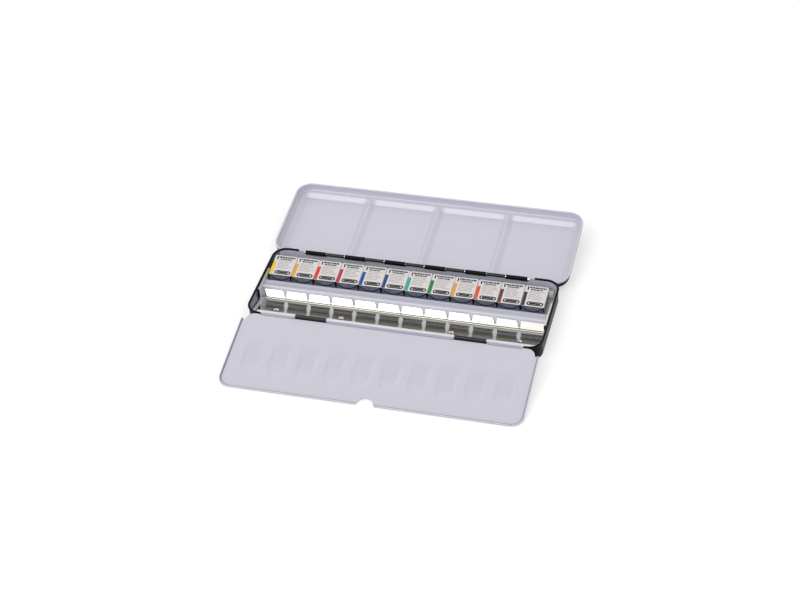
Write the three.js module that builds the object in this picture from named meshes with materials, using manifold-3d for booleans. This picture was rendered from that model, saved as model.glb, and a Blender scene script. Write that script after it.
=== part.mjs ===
// Watercolor paint box: a black lacquered tin case with an enamelled lid and a folding palette flap.
// Millimetres, +Z up. The origin is the centre of the case's underside.
// X runs along the box, Y from the palette flap to the lid.
import * as THREE from 'three';
import Module from 'manifold-3d';
import { mergeVertices } from 'three/addons/utils/BufferGeometryUtils.js';

const wasm = await Module();
wasm.setup();

// Shared values
const sheet = 0.45; // tinplate of the case, lid and flap
const traySheet = 0.4; // enamelled sheet of the pan tray
const springSheet = 0.35; // bare sheet of the holder strips
const seatGap = 0.25; // between two pieces that rest on each other
const runGap = 0.3; // around a pin, and beside a turning knuckle
const endGap = 0.4; // between two knuckles on one pin
const overrun = 1; // how far a cutter reaches past what it cuts
const cornerSteps = 5; // facets in a rounded corner
const slotSteps = 2; // facets in the round foot of a slot between tabs
const beadSteps = 8; // facets round a rolled edge
const knuckleSides = 16;
const boreSides = 12;
const rivetSides = 10;
const bowSteps = 3; // facets in the bowed floor of the front strip
const quarterTurn = 90; // degrees
const halfTurn = 2 * quarterTurn;

// Wrapped half pans, which set the size of the box
const panCount = 12;
const panFitBeside = 0.3; // between two wrapped pans
const wrapWidth = 15.95;
const wrapLength = 19.2;
const wrapHeight = 9;
const panPitch = wrapWidth + panFitBeside;

// Rows of seats
const seatCount = 12;
const seatPlay = 0.51; // how much wider a seat is than a wrapped pan
const seatPitch = wrapWidth + seatPlay;
const rowLength = seatCount * seatPitch;
const rowEndLeft = 3.2; // from the left end of the rows to the outside of the rim
const rowEndRight = 4.28;
const rowFit = 0.2; // how much longer a seat is than a wrapped pan
const tabFit = 0.25; // from a tab to the ridge or the tray's wall
const tabFlare = 3.1; // how far a tab leans back above its crease
const ridgeWidth = 7.8;
const stripHalfGap = (wrapLength + rowFit) / 2; // from the middle of a row to a crease
const creaseSetback = ridgeWidth / 2 + tabFit + springSheet + tabFlare; // from the box's middle
const rowCentre = creaseSetback + stripHalfGap; // from the middle of the box to the middle of a row
const trayWallSpan = rowCentre + stripHalfGap + tabFlare + springSheet + tabFit; // to the tray's long walls
const trayMargin = 4.8; // from the tray's long walls to the outside of the rim

// Case
const caseHeadroom = 3.5; // how much higher the case is than a wrapped pan
const caseLength = rowLength + rowEndLeft + rowEndRight; // over the rolled rim
const caseDepth = 2 * (trayWallSpan + traySheet + trayMargin); // over the rolled rim
const caseHeight = wrapHeight + caseHeadroom;
const caseHalf = caseLength / 2;
const caseCorner = 10;
const rimBead = 1.6; // diameter of the case's rolled rim
const caseFootRadius = 1.2;

// Hinges
const rearAxisInset = 0.4; // the rear pin lies this far inside the middle of the rim
const rearAxisDrop = 1.4; // and this far below the top of the rim
const rearKnuckle = 2.8;
const rearKnuckleCount = 6; // on the lid, with one fewer on the case between them
const rearHingeInset = 22.35; // from the outside of the rim to the outermost knuckle
const rearHingeSpan = 2 * (caseHalf - rearHingeInset);
const lidKnuckleShare = 0.0923; // length of a lid knuckle, of the hinge's span
const lidKnuckleLength = rearHingeSpan * lidKnuckleShare;
const rearKnucklePitch = (rearHingeSpan - lidKnuckleLength) / (rearKnuckleCount - 1);
const rearBreakInset = 17.2; // from the outside of the rim to where the rear rim is left out
const rearRimBreak = caseHalf - rearBreakInset;
const frontAxisRise = 0.4; // the front pin lies this far above the top of the rim
const frontKnuckle = 2.6;
const frontKnuckleInset = 36.7; // from the outside of the rim to a front knuckle of the case
const frontKnuckleLength = 21.6;
const frontCaseKnuckleOuter = caseHalf - frontKnuckleInset;
const frontCaseKnuckleInner = frontCaseKnuckleOuter - frontKnuckleLength;
const flapKnuckleInset = 12.5; // from the outside of the rim to the flap's outermost knuckle
const flapKnuckleEnd = caseHalf - flapKnuckleInset;
const frontBreakInset = 11.9; // from the outside of the rim to where the front rim is left out
const frontRimBreak = caseHalf - frontBreakInset;
const pinDiameter = 1.1;
const pinHeadExtra = 0.3; // the upset ends are this much thicker
const pinHeadLength = 0.6;

// Lid
const lidOverhang = 3.7; // how far the lid reaches past the case at each end
const lidLength = caseLength + 2 * lidOverhang; // over the rolled edge
const lidExtraReach = 1; // how much deeper the lid is than the case
const lidReach = caseDepth + lidExtraReach; // from the rear pin to the far edge
const lidBead = 1.4;
const lidCorner = 11;
const lidRimDrop = 1.6; // the rim's top lies this far from the pin, on the lid's own side
const lidHingeSetback = 1.4; // from the pin to the middle of the hinge side's rolled edge
const lidSkirt = 6; // from the rim to the ledge
const lidFootRadius = 1.6;
const lidOpenTilt = 5.8; // degrees above level when open
const lidLedge = 3;
const wellCount = 4;
const wellDepth = 2.6;
const wellSlope = 3.4; // how far a well's wall leans, seen from above
const wellRidge = 0.8; // flat top between two wells
const wellCorner = 5.5;
const leafThickness = 0.6;

// Palette flap
const flapOverhang = 0.1; // how far the flap reaches past the case at each end
const flapLength = caseLength + 2 * flapOverhang;
const flapShortfall = 7.6; // how much shallower the flap is than the case
const flapReach = caseDepth - flapShortfall; // from the front pin to the near edge
const flapHem = 1.4; // height and width of the hemmed edge
const hemCurl = 315; // degrees over which the hem is curled round
const flapCorner = 8.5;
const flapNeckStart = 1.4; // the sheet starts this far from the pin
const flapNeckEnd = 7; // the hem starts here
const flapNeckInset = 3.2; // the neck is this much narrower on each side
const flapNeckCorner = 5.5;
const thumbWells = 10;
const thumbPitchShare = 0.0926; // from well to well, of the flap's length
const thumbWidthShare = 0.684; // width of a well, of their pitch
const thumbNearShare = 0.779; // from the pin to the round end of the wells, of the flap's reach
const thumbFarShare = 0.405; // from the pin to where the wells run out
const thumbPitch = flapLength * thumbPitchShare;
const thumbWidth = thumbPitch * thumbWidthShare;
const thumbNear = flapReach * thumbNearShare;
const thumbFar = flapReach * thumbFarShare;
const thumbDepth = 0.9;
const thumbBevel = 1.6; // width of a well's sloping wall
const notchWidth = 10.4;
const notchDepth = 6.4;
const notchFlare = 1.3; // the notch's mouth widens by this much on each side
const notchOffset = -1;

// Pan tray and holder strips
const rowStart = rowEndLeft - caseHalf; // the left end of the rows
const trayEndGap = 0.6; // from the strips to the tray's end walls
const trayWallDrop = 5; // the tray's walls stop this far below the rim
const ridgeDrop = 3.5; // the ridge lies this far below the rim
const ridgeTop = caseHeight - ridgeDrop;
const ridgeRadius = 1.5;
const ridgeSpread = 2.5; // how far the ridge's foot spreads under the tabs
const ridgeNeck = 0.5; // from the ridge's round edge down to where it starts to spread
const upstandNear = -7.5; // the end upstands run from here
const upstandFar = 13.5; // to here
const upstandDrop = 2; // their tops lie this far below the rim
const upstandTop = caseHeight - upstandDrop;
const creaseRise = 1.2; // from the strip's floor to the crease
const tabDrop = 2.1; // the tabs' tops lie this far below the ridge's top
const tabGap = 1.7; // width of the slot between two tabs
const tabGapFoot = 0.7; // the slot stops this far above the crease
const tabChamfer = 1.7; // the slot widens by this much at the top
const tabChamferDrop = 2;
const bowStart = 2.4; // the front strip's floor starts to rise this far from its inner crease
const bowRadius = 45;
const bowEnd = 15.5; // degrees, where it is steepest
const bowCreaseRise = 0.5; // from the end of the bowed floor to the outer crease
const rivetPlaceShares = [-0.829, -0.376, 0.376, 0.829]; // of half the case's length
const rivetSetback = 1.4; // from the middle of the row towards the front
const rivetHead = 3.2;
const rivetDome = 0.65;
const rivetShank = 1.5;

// Paper, pans and paint
const wrapPaper = 0.15;
const wrapRadius = 0.5;
const wrapRound = 60; // degrees of the wrapper's rounded top edge
const wrapFootGap = 0.5; // the paper stops this far above the pan's foot
const foldSag = 3.2; // how far the end fold hangs down in its middle
const foldDrop = 0.4; // the fold starts this far below the top
const foldPaper = 0.15;
const panFit = 0.2; // between the paper and the pan
const panDraft = 0.5; // the pan's foot is this much narrower on each side
const panWall = 0.9;
const panFloor = 1;
const panRadius = 1.2;
const paintFit = 0.25;
const paintDrop = 1.1; // the paint's edge lies this far below the pan's rim
const paintDish = 0.5; // how far the cast paint sinks in its middle
const panTilt = 6; // degrees, because the wrapped pans ride up on the rear tabs
const panFrontGap = 0.5; // from the front crease to the foot of the pans

const degrees = Math.PI / halfTurn;

// Places that follow from the sizes
const rimCentreX = (caseLength - rimBead) / 2;
const rimCentreY = (caseDepth - rimBead) / 2;
const rimLevel = caseHeight - rimBead / 2;
const rearAxisY = rimCentreY - rearAxisInset;
const rearAxisZ = caseHeight - rearAxisDrop;
const frontAxisY = -rimCentreY;
const frontAxisZ = caseHeight + frontAxisRise;
const boreDiameter = pinDiameter + 2 * runGap;
const caseKnuckleLength = rearKnucklePitch - lidKnuckleLength - 2 * endGap;
const trayFloorLow = sheet + seatGap;
const trayFloorTop = trayFloorLow + traySheet;
const stripFloorLow = trayFloorTop + seatGap;
const stripFloorTop = stripFloorLow + springSheet;
const stripEnd = rowStart + rowLength;
const creaseLevel = stripFloorTop + creaseRise;
const tabTop = ridgeTop - tabDrop;

// Colours
const lacquer = new THREE.MeshStandardMaterial({ color: 0x1c1c1d, roughness: 0.35, metalness: 0 });
const enamel = new THREE.MeshStandardMaterial({ color: 0xcfced6, roughness: 0.3, metalness: 0 });
const tin = new THREE.MeshStandardMaterial({ color: 0xb9b8b2, roughness: 0.22, metalness: 1 });
const steel = new THREE.MeshStandardMaterial({ color: 0x55565a, roughness: 0.4, metalness: 1 });
const panPlastic = new THREE.MeshStandardMaterial({ color: 0xf1f0ec, roughness: 0.45, metalness: 0 });
const paper = new THREE.MeshStandardMaterial({ color: 0xd9d5d4, roughness: 0.6, metalness: 0 });
const paintColours = [
  0xe0c21f, 0xdd9f2c, 0xcb3b2d, 0xae2346, 0x2a4e9e, 0x1f4a73,
  0x1f9d8f, 0x1b7a3f, 0xd8963a, 0xd4502a, 0x6e3b2e, 0x3a2f31,
];

// Turns a three.js geometry into a solid for joining and cutting
function solid(geometry) {
  const bare = geometry.index ? geometry.clone() : geometry;
  bare.deleteAttribute('normal');
  bare.deleteAttribute('uv');
  const merged = mergeVertices(bare, 1e-4);
  return new wasm.Manifold(new wasm.Mesh({
    numProp: 3,
    vertProperties: new Float32Array(merged.attributes.position.array),
    triVerts: new Uint32Array(merged.index.array),
  }));
}

// Turns a solid back into a three.js geometry
function geometryOf(manifold) {
  const mesh = manifold.getMesh();
  const geometry = new THREE.BufferGeometry();
  geometry.setAttribute('position', new THREE.BufferAttribute(mesh.vertProperties, 3));
  geometry.setIndex(new THREE.BufferAttribute(mesh.triVerts, 1));
  geometry.computeVertexNormals();
  return geometry;
}

function join(solids) {
  return solids.reduce((whole, piece) => whole.add(piece));
}

function block(x0, x1, y0, y1, z0, z1) {
  const box = new THREE.BoxGeometry(x1 - x0, y1 - y0, z1 - z0);
  return solid(box.translate((x0 + x1) / 2, (y0 + y1) / 2, (z0 + z1) / 2));
}

// One closed ring of points round a rectangle with rounded corners, grown by some amount
function ring(area, grow, level) {
  const radius = Math.max(area.radius + grow, area.radius / 4);
  const left = area.x0 - grow + radius;
  const right = area.x1 + grow - radius;
  const near = area.y0 - grow + radius;
  const far = area.y1 + grow - radius;
  const corners = [[right, near, -0.5], [right, far, 0], [left, far, 0.5], [left, near, 1]];
  const steps = area.steps ?? cornerSteps;
  return corners.flatMap(([x, y, start]) => Array.from({ length: steps + 1 }, (_, i) => {
    const angle = (start + i / steps / 2) * Math.PI;
    return new THREE.Vector3(x + radius * Math.cos(angle), y + radius * Math.sin(angle), level);
  }));
}

// Skins a stack of rings. An open stack gets a cap at each end, a closed one joins its ends.
function loft(rings, closed = false) {
  const size = rings[0].length;
  const points = rings.flat();
  const faces = [];
  const last = closed ? rings.length : rings.length - 1;
  for (let r = 0; r < last; r += 1) {
    const low = r * size;
    const high = ((r + 1) % rings.length) * size;
    for (let i = 0; i < size; i += 1) {
      const next = (i + 1) % size;
      faces.push(low + i, low + next, high + next, low + i, high + next, high + i);
    }
  }
  if (!closed) {
    const top = (rings.length - 1) * size;
    for (let i = 1; i < size - 1; i += 1) {
      faces.push(0, i + 1, i, top, top + i, top + i + 1);
    }
  }
  const geometry = new THREE.BufferGeometry().setFromPoints(points);
  geometry.setIndex(faces);
  return solid(geometry);
}

// A quarter or half round as [outward, upward] pairs about a middle
function arc(out, up, radius, from, to, steps) {
  return Array.from({ length: steps + 1 }, (_, i) => {
    const angle = (from + (to - from) * i / steps) * degrees;
    return [out + radius * Math.cos(angle), up + radius * Math.sin(angle)];
  });
}

function rings(area, profile) {
  return profile.map(([grow, level]) => ring(area, grow, level));
}

// A tray-like shell: rolled edge, upright wall and rounded foot, inside and outside
function pressedShell(area, top, floor, thick, bead, footRadius) {
  const outer = thick / 2;
  const beadUp = top - bead / 2;
  const inFoot = footRadius - thick;
  const meet = Math.acos(thick / bead) / degrees;
  return loft(rings(area, [
    ...arc(outer - footRadius, floor - thick + footRadius, footRadius, -quarterTurn, 0, 3),
    ...arc(0, beadUp, bead / 2, -meet, halfTurn + meet, beadSteps),
    ...arc(-outer - inFoot, floor + inFoot, inFoot, 0, -quarterTurn, 2),
  ]));
}

// A plain convex solid that fills an area between two levels
function filled(area, grow, low, high) {
  return loft([ring(area, grow, low), ring(area, grow, high)]);
}

// A round bar along X
function barX(diameter, x0, x1, y, z, sides) {
  const bar = new THREE.CylinderGeometry(diameter / 2, diameter / 2, x1 - x0, sides);
  return solid(bar.rotateZ(-Math.PI / 2).translate((x0 + x1) / 2, y, z));
}

// A flat outline in the Y-Z plane drawn out along X
function extrudeX(points, x0, x1) {
  const shape = new THREE.Shape(points.map(([y, z]) => new THREE.Vector2(y, z)));
  const geometry = new THREE.ExtrudeGeometry(shape, { depth: x1 - x0, bevelEnabled: false });
  const turn = new THREE.Matrix4().makeBasis(
    new THREE.Vector3(0, 1, 0), new THREE.Vector3(0, 0, 1), new THREE.Vector3(1, 0, 0));
  return solid(geometry.applyMatrix4(turn).translate(x0, 0, 0));
}

// A flat outline in the X-Z plane drawn out along Y
function extrudeY(shape, y0, y1, curveSegments) {
  const geometry = new THREE.ExtrudeGeometry(shape, { depth: y1 - y0, bevelEnabled: false, curveSegments });
  const turn = new THREE.Matrix4().makeBasis(
    new THREE.Vector3(1, 0, 0), new THREE.Vector3(0, 0, 1), new THREE.Vector3(0, -1, 0));
  return solid(geometry.applyMatrix4(turn).translate(0, y1, 0));
}

// Gives a bent line of sheet its thickness, on the left of its direction
function thicken(line, thick) {
  const normals = line.slice(1).map(([y, z], i) => {
    const along = new THREE.Vector2(y - line[i][0], z - line[i][1]).normalize();
    return new THREE.Vector2(-along.y, along.x);
  });
  const moved = line.map(([y, z], i) => {
    const before = normals[Math.max(i - 1, 0)];
    const after = normals[Math.min(i, normals.length - 1)];
    const mid = before.clone().add(after).normalize();
    const reach = thick / mid.dot(after);
    return [y + mid.x * reach, z + mid.y * reach];
  });
  return [...line, ...moved.reverse()];
}

function mesh(name, manifold, material) {
  const piece = new THREE.Mesh(geometryOf(manifold), material);
  piece.name = name;
  return piece;
}

// Hinge knuckles
function lidKnuckleSpans() {
  const first = -(rearKnuckleCount - 1) / 2 * rearKnucklePitch;
  return Array.from({ length: rearKnuckleCount }, (_, i) => {
    const middle = first + i * rearKnucklePitch;
    return [middle - lidKnuckleLength / 2, middle + lidKnuckleLength / 2];
  });
}

function caseRearKnuckleSpans() {
  const first = -(rearKnuckleCount - 2) / 2 * rearKnucklePitch;
  return Array.from({ length: rearKnuckleCount - 1 }, (_, i) => {
    const middle = first + i * rearKnucklePitch;
    return [middle - caseKnuckleLength / 2, middle + caseKnuckleLength / 2];
  });
}

const caseFrontKnuckleSpans = [
  [-frontCaseKnuckleOuter, -frontCaseKnuckleInner],
  [frontCaseKnuckleInner, frontCaseKnuckleOuter],
];
const flapKnuckleSpans = [
  [-flapKnuckleEnd, -frontCaseKnuckleOuter - endGap],
  [-frontCaseKnuckleInner + endGap, frontCaseKnuckleInner - endGap],
  [frontCaseKnuckleOuter + endGap, flapKnuckleEnd],
];

// The case
const caseArea = {
  x0: -rimCentreX, x1: rimCentreX, y0: -rimCentreY, y1: rimCentreY, radius: caseCorner - rimBead / 2,
};

function caseBody() {
  const shell = pressedShell(caseArea, caseHeight, sheet, sheet, rimBead, caseFootRadius);
  const rearKeep = rearAxisZ - rearKnuckle / 2 - runGap;
  const frontKeep = frontAxisZ - frontKnuckle / 2 - runGap;
  const beadFoot = caseHeight - rimBead - sheet;
  const reach = rimBead;
  const above = caseHeight + overrun;
  const cuts = [
    block(-rearRimBreak, rearRimBreak, rimCentreY - reach, rimCentreY + reach, beadFoot, above),
    block(-frontRimBreak, frontRimBreak, -rimCentreY - reach, -rimCentreY + reach, beadFoot, above),
    ...lidKnuckleSpans().map(([x0, x1]) => block(
      x0 - endGap, x1 + endGap, rimCentreY - reach, rimCentreY + reach, rearKeep, above)),
  ];
  const wallRear = [rimCentreY - sheet / 2, rimCentreY + sheet / 2];
  const wallFront = [-rimCentreY - sheet / 2, -rimCentreY + sheet / 2];
  const rises = [
    ...caseRearKnuckleSpans().map(([x0, x1]) => block(x0, x1, ...wallRear, rearKeep - sheet, rearAxisZ)),
    ...caseRearKnuckleSpans().map(([x0, x1]) => barX(
      rearKnuckle, x0, x1, rearAxisY, rearAxisZ, knuckleSides)),
    ...caseFrontKnuckleSpans.map(([x0, x1]) => block(x0, x1, ...wallFront, beadFoot - sheet, frontAxisZ)),
    ...caseFrontKnuckleSpans.map(([x0, x1]) => barX(
      frontKnuckle, x0, x1, frontAxisY, frontAxisZ, knuckleSides)),
    block(-frontRimBreak, frontRimBreak, ...wallFront, beadFoot - sheet, Math.min(frontKeep, caseHeight)),
  ];
  const bores = [
    barX(boreDiameter, -rearRimBreak, rearRimBreak, rearAxisY, rearAxisZ, boreSides),
    barX(boreDiameter, -frontRimBreak, frontRimBreak, frontAxisY, frontAxisZ, boreSides),
  ];
  return join([shell.subtract(join(cuts)), ...rises]).subtract(join(bores));
}

// The lid, drawn open and level: the pin is the line y = 0, z = 0, and the inside faces up
const lidBeadMiddle = (lidLength - lidBead) / 2;
const lidArea = {
  x0: -lidBeadMiddle, x1: lidBeadMiddle,
  y0: lidHingeSetback, y1: lidReach - lidBead / 2, radius: lidCorner - lidBead / 2,
};
const lidLedgeLevel = -lidRimDrop - lidSkirt;

function lidWellAreas() {
  const inner = sheet / 2 + lidLedge;
  const left = lidArea.x0 + inner;
  const pitch = (lidArea.x1 - inner - left + wellRidge) / wellCount;
  return Array.from({ length: wellCount }, (_, i) => ({
    x0: left + i * pitch, x1: left + (i + 1) * pitch - wellRidge,
    y0: lidArea.y0 + inner, y1: lidArea.y1 - inner, radius: wellCorner,
  }));
}

function well(area, low, high, slope, thick) {
  return loft([ring(area, thick - slope, low), ring(area, thick, high)]);
}

function lidShell() {
  const floorLevel = lidLedgeLevel - wellDepth;
  const shell = pressedShell(lidArea, -lidRimDrop, lidLedgeLevel, sheet, lidBead, lidFootRadius);
  const areas = lidWellAreas();
  const under = areas.map((area) => well(
    area, floorLevel - sheet, lidLedgeLevel - sheet / 2, wellSlope, sheet));
  const upper = lidLedgeLevel + overrun;
  const steeper = wellSlope * (wellDepth + overrun) / wellDepth;
  const hollow = areas.map((area) => loft([
    ring(area, -wellSlope, floorLevel), ring(area, steeper - wellSlope, upper),
  ]));
  const leafLow = -lidRimDrop - lidBead / 2;
  const knuckles = lidKnuckleSpans().flatMap(([x0, x1]) => [
    barX(rearKnuckle, x0, x1, 0, 0, knuckleSides),
    block(x0, x1, lidHingeSetback - leafThickness, lidHingeSetback, leafLow, 0),
  ]);
  const bore = barX(boreDiameter, -rearRimBreak, rearRimBreak, 0, 0, boreSides);
  return join([shell, ...under]).subtract(join(hollow)).add(join(knuckles)).subtract(bore);
}

// The flap, drawn open and level: the pin is the line y = 0, z = 0, and the sheet runs to -Y
const flapHalf = flapLength / 2;
const flapUnder = -frontKnuckle / 2;
const flapTop = flapUnder + sheet;

function flapOutline() {
  const neck = flapHalf - flapNeckInset;
  const shape = new THREE.Shape();
  shape.moveTo(-neck + flapNeckCorner, -flapNeckStart);
  shape.absarc(-neck + flapNeckCorner, -flapNeckStart - flapNeckCorner, flapNeckCorner,
    Math.PI / 2, Math.PI, false);
  shape.lineTo(-neck, -flapNeckEnd);
  shape.lineTo(-flapHalf, -flapNeckEnd);
  shape.absarc(-flapHalf + flapCorner, -flapReach + flapCorner, flapCorner, Math.PI, Math.PI * 3 / 2, false);
  shape.absarc(flapHalf - flapCorner, -flapReach + flapCorner, flapCorner, -Math.PI / 2, 0, false);
  shape.lineTo(flapHalf, -flapNeckEnd);
  shape.lineTo(neck, -flapNeckEnd);
  shape.absarc(neck - flapNeckCorner, -flapNeckStart - flapNeckCorner, flapNeckCorner, 0, Math.PI / 2, false);
  shape.closePath();
  return shape;
}

function plate(shape, low, high) {
  const geometry = new THREE.ExtrudeGeometry(shape, {
    depth: high - low, bevelEnabled: false, curveSegments: cornerSteps,
  });
  return solid(geometry.translate(0, 0, low));
}

// A round finger notch with a flared mouth, in the near edge
function notchOutline() {
  const radius = notchWidth / 2;
  const centre = -flapReach + notchDepth - radius;
  const mouth = radius + notchFlare;
  const shape = new THREE.Shape();
  shape.moveTo(notchOffset - mouth, -flapReach - overrun);
  shape.lineTo(notchOffset - mouth, -flapReach);
  shape.quadraticCurveTo(notchOffset - radius, -flapReach, notchOffset - radius, centre);
  shape.absarc(notchOffset, centre, radius, Math.PI, 0, true);
  shape.quadraticCurveTo(notchOffset + radius, -flapReach, notchOffset + mouth, -flapReach);
  shape.lineTo(notchOffset + mouth, -flapReach - overrun);
  shape.closePath();
  return shape;
}

// A well with a round near end and a floor that rises to the sheet at its far end
function thumbWell(middle, inset, depth) {
  const half = thumbWidth / 2 - inset;
  const steps = cornerSteps * 2;
  const outlineAt = (grow, level, far) => {
    const radius = half + grow;
    const near = Array.from({ length: steps + 1 }, (_, i) => {
      const angle = Math.PI + Math.PI * i / steps;
      return new THREE.Vector3(middle + radius * Math.cos(angle),
        -thumbNear + half + inset + radius * Math.sin(angle), level);
    });
    return [...near, new THREE.Vector3(middle + radius, -thumbFar, far),
      new THREE.Vector3(middle - radius, -thumbFar, far)];
  };
  const rise = depth / thumbBevel;
  return loft([
    outlineAt(-thumbBevel, flapTop - depth, flapTop - inset * rise),
    outlineAt(thumbBevel / depth * overrun, flapTop + overrun, flapTop + overrun),
  ]);
}

function paletteFlap() {
  const hemArea = {
    x0: -flapHalf + flapHem / 2, x1: flapHalf - flapHem / 2,
    y0: -flapReach + flapHem / 2, y1: -flapHem / 2, radius: flapCorner - flapHem / 2,
  };
  const curl = arc(0, flapUnder + flapHem / 2, flapHem / 2, 0, hemCurl, beadSteps - 1);
  const hemRing = loft(rings(hemArea, curl), true);
  const hem = hemRing.subtract(block(
    -flapLength, flapLength, -flapNeckEnd, overrun, flapUnder - flapHem, flapHem));
  const middles = Array.from({ length: thumbWells }, (_, i) => (i - (thumbWells - 1) / 2) * thumbPitch);
  const bulges = middles.map((middle) => thumbBulge(middle));
  const hollows = middles.map((middle) => thumbWell(middle, 0, thumbDepth));
  const relief = caseFrontKnuckleSpans.map(([x0, x1]) => block(
    x0 - endGap, x1 + endGap, -frontKnuckle / 2 - runGap, frontKnuckle, flapUnder - overrun, frontKnuckle));
  const sheetPlate = plate(flapOutline(), flapUnder, flapTop).add(join([
    hem, ...bulges, ...flapKnuckleSpans.map(([x0, x1]) => block(
      x0, x1, -frontKnuckle / 2 - runGap - overrun, 0, flapUnder, flapTop)),
  ]));
  const knuckles = flapKnuckleSpans.map(([x0, x1]) => barX(frontKnuckle, x0, x1, 0, 0, knuckleSides));
  const bore = barX(boreDiameter, -frontRimBreak, frontRimBreak, 0, 0, boreSides);
  const notch = plate(notchOutline(), flapUnder - overrun, flapHem + overrun);
  return sheetPlate.subtract(join([...relief, ...hollows, notch])).add(join(knuckles)).subtract(bore);
}

// The underside of a thumb well: the same form, one sheet lower
function thumbBulge(middle) {
  const half = thumbWidth / 2;
  const steps = cornerSteps * 2;
  const outlineAt = (grow, level, far) => {
    const radius = half + grow;
    const near = Array.from({ length: steps + 1 }, (_, i) => {
      const angle = Math.PI + Math.PI * i / steps;
      return new THREE.Vector3(middle + radius * Math.cos(angle),
        -thumbNear + half + radius * Math.sin(angle), level);
    });
    return [...near, new THREE.Vector3(middle + radius, -thumbFar, far),
      new THREE.Vector3(middle - radius, -thumbFar, far)];
  };
  return loft([
    outlineAt(-thumbBevel + sheet, flapUnder - thumbDepth, flapUnder),
    outlineAt(sheet, flapUnder, flapUnder + sheet / 2),
    outlineAt(sheet, flapTop, flapTop),
  ]);
}

// Hinge pins
function hingePin(half, y, z) {
  const shaft = barX(pinDiameter, -half, half, y, z, boreSides);
  const end = half + pinHeadLength;
  const heads = [[-end, -half], [half, end]].map(([x0, x1]) => barX(
    pinDiameter + pinHeadExtra, x0, x1, y, z, boreSides));
  return join([shaft, ...heads]);
}

// The pan tray: two troughs with a hollow ridge between them, end walls and end upstands
function ridgeLine() {
  const half = ridgeWidth / 2;
  const foot = half + ridgeSpread;
  const near = [
    [-foot, trayFloorTop], [-foot, creaseLevel], [-half, ridgeTop - ridgeRadius - ridgeNeck],
    ...arc(-half + ridgeRadius, ridgeTop - ridgeRadius, ridgeRadius, halfTurn, quarterTurn, 3),
  ];
  return [...near, ...near.map(([y, z]) => [-y, z]).reverse()];
}

function panTray() {
  const wallTop = caseHeight - trayWallDrop;
  const line = [
    [-trayWallSpan, wallTop], [-trayWallSpan, trayFloorTop], ...ridgeLine(),
    [trayWallSpan, trayFloorTop], [trayWallSpan, wallTop],
  ];
  const inner = [rowStart - trayEndGap, stripEnd + trayEndGap];
  const outer = [inner[0] - traySheet, inner[1] + traySheet];
  const body = extrudeX(thicken([...line].reverse(), traySheet), outer[0], outer[1]);
  const walls = [[outer[0], inner[0]], [inner[1], outer[1]]].map(([x0, x1]) => block(
    x0, x1, -trayWallSpan, trayWallSpan, trayFloorLow, wallTop));
  const half = rimCentreX - sheet / 2 - seatGap;
  const foot = ridgeTop - ridgeRadius - ridgeNeck - sheet;
  const upstands = [[-half, -half + traySheet], [half - traySheet, half]].map(([x0, x1]) => block(
    x0, x1, upstandNear, upstandFar, foot, upstandTop));
  const ridgeProfile = thicken([...ridgeLine()].reverse(), traySheet);
  const stubs = [[-half, outer[0] + traySheet], [outer[1] - traySheet, half]].map(
    ([x0, x1]) => extrudeX(ridgeProfile, x0, x1).subtract(block(
      x0 - overrun, x1 + overrun, -ridgeWidth, ridgeWidth, 0, foot)));
  const fits = filled(caseArea, -sheet / 2 - seatGap * 2, 0, upstandTop + overrun);
  const inside = join([body, ...walls]).intersect(fits);
  const holes = rivetSites().map(([x, y]) => rivetHole(x, y));
  return join([inside, ...stubs, ...upstands]).subtract(join(holes));
}

// The holder strips: a bent springy sheet with a tab at each side of every seat
// The floor of the front strip rises in a bow towards the front, that of the rear strip is flat
function bowedFloor(outer) {
  const bow = arc(creaseSetback + bowStart, stripFloorTop + bowRadius, bowRadius,
    -quarterTurn, bowEnd - quarterTurn, bowSteps);
  const [out, level] = bow[bow.length - 1];
  const end = level + (outer - out) * Math.tan(panTilt * degrees);
  return [...bow, [outer, end], [outer, end + bowCreaseRise]];
}

// How high the foot of a tilted pan lies, at some distance from the middle of the box
function seatLevel(out) {
  return stripFloorTop + (out - creaseSetback) * Math.tan(panTilt * degrees);
}

// A strip across its row, from the ridge's side outwards
function stripLine(bowed) {
  const outer = rowCentre + stripHalfGap;
  return [
    [creaseSetback - tabFlare, tabTop], [creaseSetback, creaseLevel], [creaseSetback, stripFloorTop],
    ...(bowed ? bowedFloor(outer) : [[outer, stripFloorTop], [outer, seatLevel(outer)]]),
    [outer + tabFlare, tabTop],
  ];
}

function tabSlot(x, side) {
  const foot = creaseLevel + tabGapFoot;
  const top = tabTop;
  const half = tabGap / 2;
  const shape = new THREE.Shape();
  shape.moveTo(x + half, top + overrun);
  shape.lineTo(x - half - tabChamfer, top + overrun);
  shape.lineTo(x - half - tabChamfer, top);
  shape.lineTo(x - half, top - tabChamferDrop);
  shape.lineTo(x - half, foot + half);
  shape.absarc(x, foot + half, half, Math.PI, Math.PI * 2, false);
  shape.lineTo(x + half, top - half);
  shape.lineTo(x + half + half, top);
  shape.lineTo(x + half + half, top + overrun);
  shape.closePath();
  const across = side * 2 * rowCentre;
  return extrudeY(shape, Math.min(across, 0), Math.max(across, 0), slotSteps);
}

// side is -1 for the front row and 1 for the rear row
function holderStrip(side) {
  const line = thicken(stripLine(side < 0).reverse(), springSheet).map(([out, z]) => [side * out, z]);
  const bent = extrudeX(line, rowStart, stripEnd);
  const slots = Array.from({ length: seatCount - 1 }, (_, i) => tabSlot(
    rowStart + (i + 1) * seatPitch, side));
  const holes = rivetSites().map(([x, y]) => rivetHole(x, y));
  return bent.subtract(join([...slots, ...holes]));
}

// Rivets
function rivetSites() {
  return [-rowCentre - rivetSetback, rowCentre - rivetSetback].flatMap(
    (y) => rivetPlaceShares.map((share) => [share * caseHalf, y]));
}

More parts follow.
